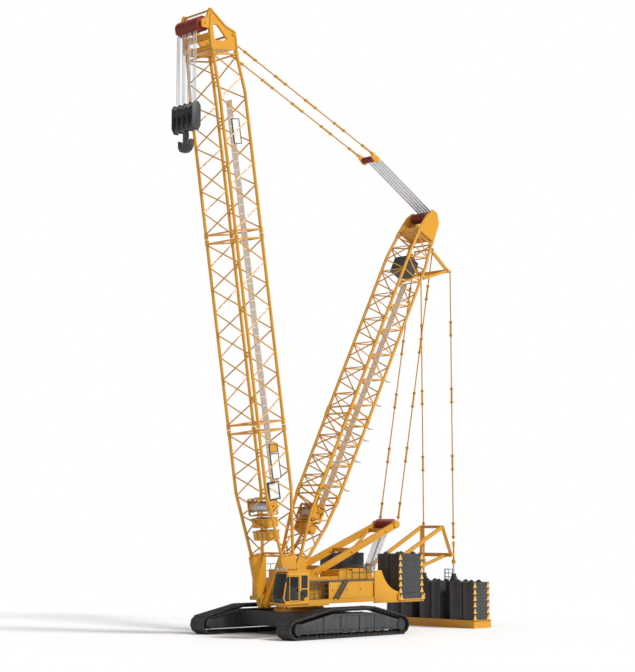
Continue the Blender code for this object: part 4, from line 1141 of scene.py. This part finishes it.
class CRANE_OT_ballast(bpy.types.Operator):
    """Stack the counterweight slabs and dress the ballast tray"""
    bl_idname = "crane.ballast"
    bl_label = "Ballast"

    def execute(self, context):
        p = paints()
        tray_slab = (3.447 - 0.564) / 6
        for side, sy in LEFT_RIGHT:
            slab_stack(f"main_slabs_{side}", f"counterweight_{side}", sy * 1.80, sy * 4.20, -8.52, -5.93,
                       2.79, 6,
                       0.4787, "upper", True, 0.36)
            slab_stack(f"tray_slabs_{side}", f"superlift_stack_{side}", sy * 1.95, sy * 4.60, -15.45, -13.60,
                       0.564,
                       6, tray_slab, "upper")
        slab_stack("tray_slabs_middle", "superlift_stack_middle", -1.20, 1.20, -15.45, -13.60, 0.564, 6,
                   tray_slab,
                   "upper", False)
        paint_nodes(("superlift_tray",), p["yellow"])
        paint_nodes(("superlift_cylinder_left", "superlift_cylinder_right"), p["charcoal"])
        edge = []
        for sy in (1, -1):
            ys = sorted((sy * 4.62, sy * 4.655))
            edge.append(((-15.49, ys[0], 0.50), (-13.54, ys[1], 0.62)))
        for x in (-15.49, -13.565):
            edge.append(((x, -4.65, 0.44), (x + 0.03, 4.65, 0.60)))
            edge.append(((x, -4.65, 0.0), (x + 0.03, 4.65, 0.07)))
        boxes("tray_edges", edge, p["yellow"], "upper", 0.004)
        bars, chrome, eyes = [], [], []
        for side, sy in LEFT_RIGHT:
            y = sy * 1.57
            chrome.append(((-14.75, y, 3.98), (-14.75, y, 4.82), 0.050))
            bars += [((-14.75, y, 4.98), (-14.75, y, 6.50), 0.036),
                     ((-14.75, y, 4.80), (-14.75, y, 5.10), 0.075),
                     ((-14.75, y - 0.15, 4.92), (-14.75, y + 0.15, 4.92), 0.04),
                     ((-14.75, y, 6.10), (-14.75, y, 6.50), 0.05)]
            eyes += [((-14.75, y, 3.45), (-14.75, y, 3.62), 0.165),
                     ((-14.75, y, 3.62), (-14.75, y, 3.80), 0.125),
                     ((-14.75, y, 3.80), (-14.75, y, 4.02), 0.095)]
        rods("cylinder_chrome", chrome, p["chrome"], "upper", 20)
        rods("cylinder_links", bars, p["yellow"], "upper", 12, bevel=0.004)
        rods("cylinder_collars", eyes, p["charcoal"], "upper", 24, bevel=0.006)
        return {"FINISHED"}


# ---- Stage -----------------------------------------------------------------------------------
class CRANE_OT_stage(bpy.types.Operator):
    """Set the floor, the light and the camera"""
    bl_idname = "crane.stage"
    bl_label = "Stage"

    def execute(self, context):
        scene = context.scene
        clear_selection()
        bpy.ops.mesh.primitive_circle_add(vertices=96, radius=600.0, fill_type="NGON",
                                          location=(0, 0, -0.002))
        floor = context.object
        floor.name = "studio_floor"
        floor.data.materials.append(self.floor_material())
        camera = bpy.data.cameras.new("camera")
        camera.lens = LENS
        camera.sensor_width = SENSOR
        camera.clip_end = 2000.0
        view = bpy.data.objects.new("camera", camera)
        view.location = at(83.31, 90.07, 7.944)
        view.rotation_euler = (math.radians(96.3), 0.0, math.radians(136.64))
        scene.collection.objects.link(view)
        scene.camera = view
        sun = bpy.data.lights.new("key", "SUN")
        sun.energy = KEY_STRENGTH
        sun.angle = math.radians(12)
        lamp = bpy.data.objects.new("key", sun)
        lamp.rotation_euler = (math.radians(50), 0.0, math.radians(200))
        scene.collection.objects.link(lamp)
        self.world(scene)
        scene.view_settings.view_transform = "Standard"
        return {"FINISHED"}

    def floor_material(self):
        mat = bpy.data.materials.new("studio floor")
        mat.use_nodes = True
        N, L = mat.node_tree.nodes, mat.node_tree.links
        shader = N["Principled BSDF"]
        shader.inputs["Base Color"].default_value = (0.92, 0.92, 0.92, 1.0)
        shader.inputs["Roughness"].default_value = 0.9
        glow = N.new("ShaderNodeEmission")
        glow.inputs["Color"].default_value = (1.0, 1.0, 1.0, 1.0)
        coord = N.new("ShaderNodeTexCoord")
        length = N.new("ShaderNodeVectorMath")
        length.operation = "LENGTH"
        ramp = N.new("ShaderNodeMapRange")
        ramp.inputs["From Min"].default_value = 12.0
        ramp.inputs["From Max"].default_value = 40.0
        path = N.new("ShaderNodeLightPath")
        both = N.new("ShaderNodeMath")
        both.operation = "MULTIPLY"
        mix = N.new("ShaderNodeMixShader")
        L.new(coord.outputs["Object"], length.inputs[0])
        L.new(length.outputs["Value"], ramp.inputs["Value"])
        L.new(ramp.outputs["Result"], both.inputs[0])
        L.new(path.outputs["Is Camera Ray"], both.inputs[1])
        L.new(both.outputs["Value"], mix.inputs[0])
        L.new(shader.outputs["BSDF"], mix.inputs[1])
        L.new(glow.outputs["Emission"], mix.inputs[2])
        L.new(mix.outputs["Shader"], N["Material Output"].inputs["Surface"])
        return mat

    def world(self, scene):
        world = bpy.data.worlds.new("studio")
        world.use_nodes = True
        N, L = world.node_tree.nodes, world.node_tree.links
        ground = N["Background"]
        ground.inputs["Color"].default_value = (1.0, 1.0, 1.0, 1.0)
        ground.inputs["Strength"].default_value = SKY_STRENGTH
        seen = N.new("ShaderNodeBackground")
        seen.inputs["Color"].default_value = (1.0, 1.0, 1.0, 1.0)
        path = N.new("ShaderNodeLightPath")
        most = N.new("ShaderNodeMath")
        most.operation = "MAXIMUM"
        mix = N.new("ShaderNodeMixShader")
        L.new(path.outputs["Is Camera Ray"], most.inputs[0])
        L.new(path.outputs["Is Transmission Ray"], most.inputs[1])
        L.new(most.outputs["Value"], mix.inputs[0])
        L.new(ground.outputs["Background"], mix.inputs[1])
        L.new(seen.outputs["Background"], mix.inputs[2])
        L.new(mix.outputs["Shader"], N["World Output"].inputs["Surface"])
        scene.world = world


class CRANE_PT_panel(bpy.types.Panel):
    """Lists the crane's pieces"""
    bl_label = "Crawler crane"
    bl_idname = "CRANE_PT_panel"
    bl_space_type = "VIEW_3D"
    bl_region_type = "UI"
    bl_category = "Crane"

    def draw(self, context):
        for op in OPERATORS:
            self.layout.operator(op.bl_idname)


OPERATORS = (CRANE_OT_stage, CRANE_OT_tracks, CRANE_OT_platform, CRANE_OT_cab, CRANE_OT_ballast,
             CRANE_OT_boom,
             CRANE_OT_mast, CRANE_OT_sheaves, CRANE_OT_rigging, CRANE_OT_hook)
CLASSES = (CRANE_PG_sizes, CRANE_PG_colours, *OPERATORS, CRANE_PT_panel)


def register():
    for cls in CLASSES:
        bpy.utils.register_class(cls)
    bpy.types.Scene.crane_sizes = bpy.props.PointerProperty(type=CRANE_PG_sizes)
    bpy.types.Scene.crane_colours = bpy.props.PointerProperty(type=CRANE_PG_colours)


def unregister():
    del bpy.types.Scene.crane_sizes
    del bpy.types.Scene.crane_colours
    for cls in reversed(CLASSES):
        bpy.utils.unregister_class(cls)


def main():
    register()
    for op in OPERATORS:
        group, name = op.bl_idname.split(".")
        getattr(getattr(bpy.ops, group), name)()


if __name__ == "__main__":
    main()
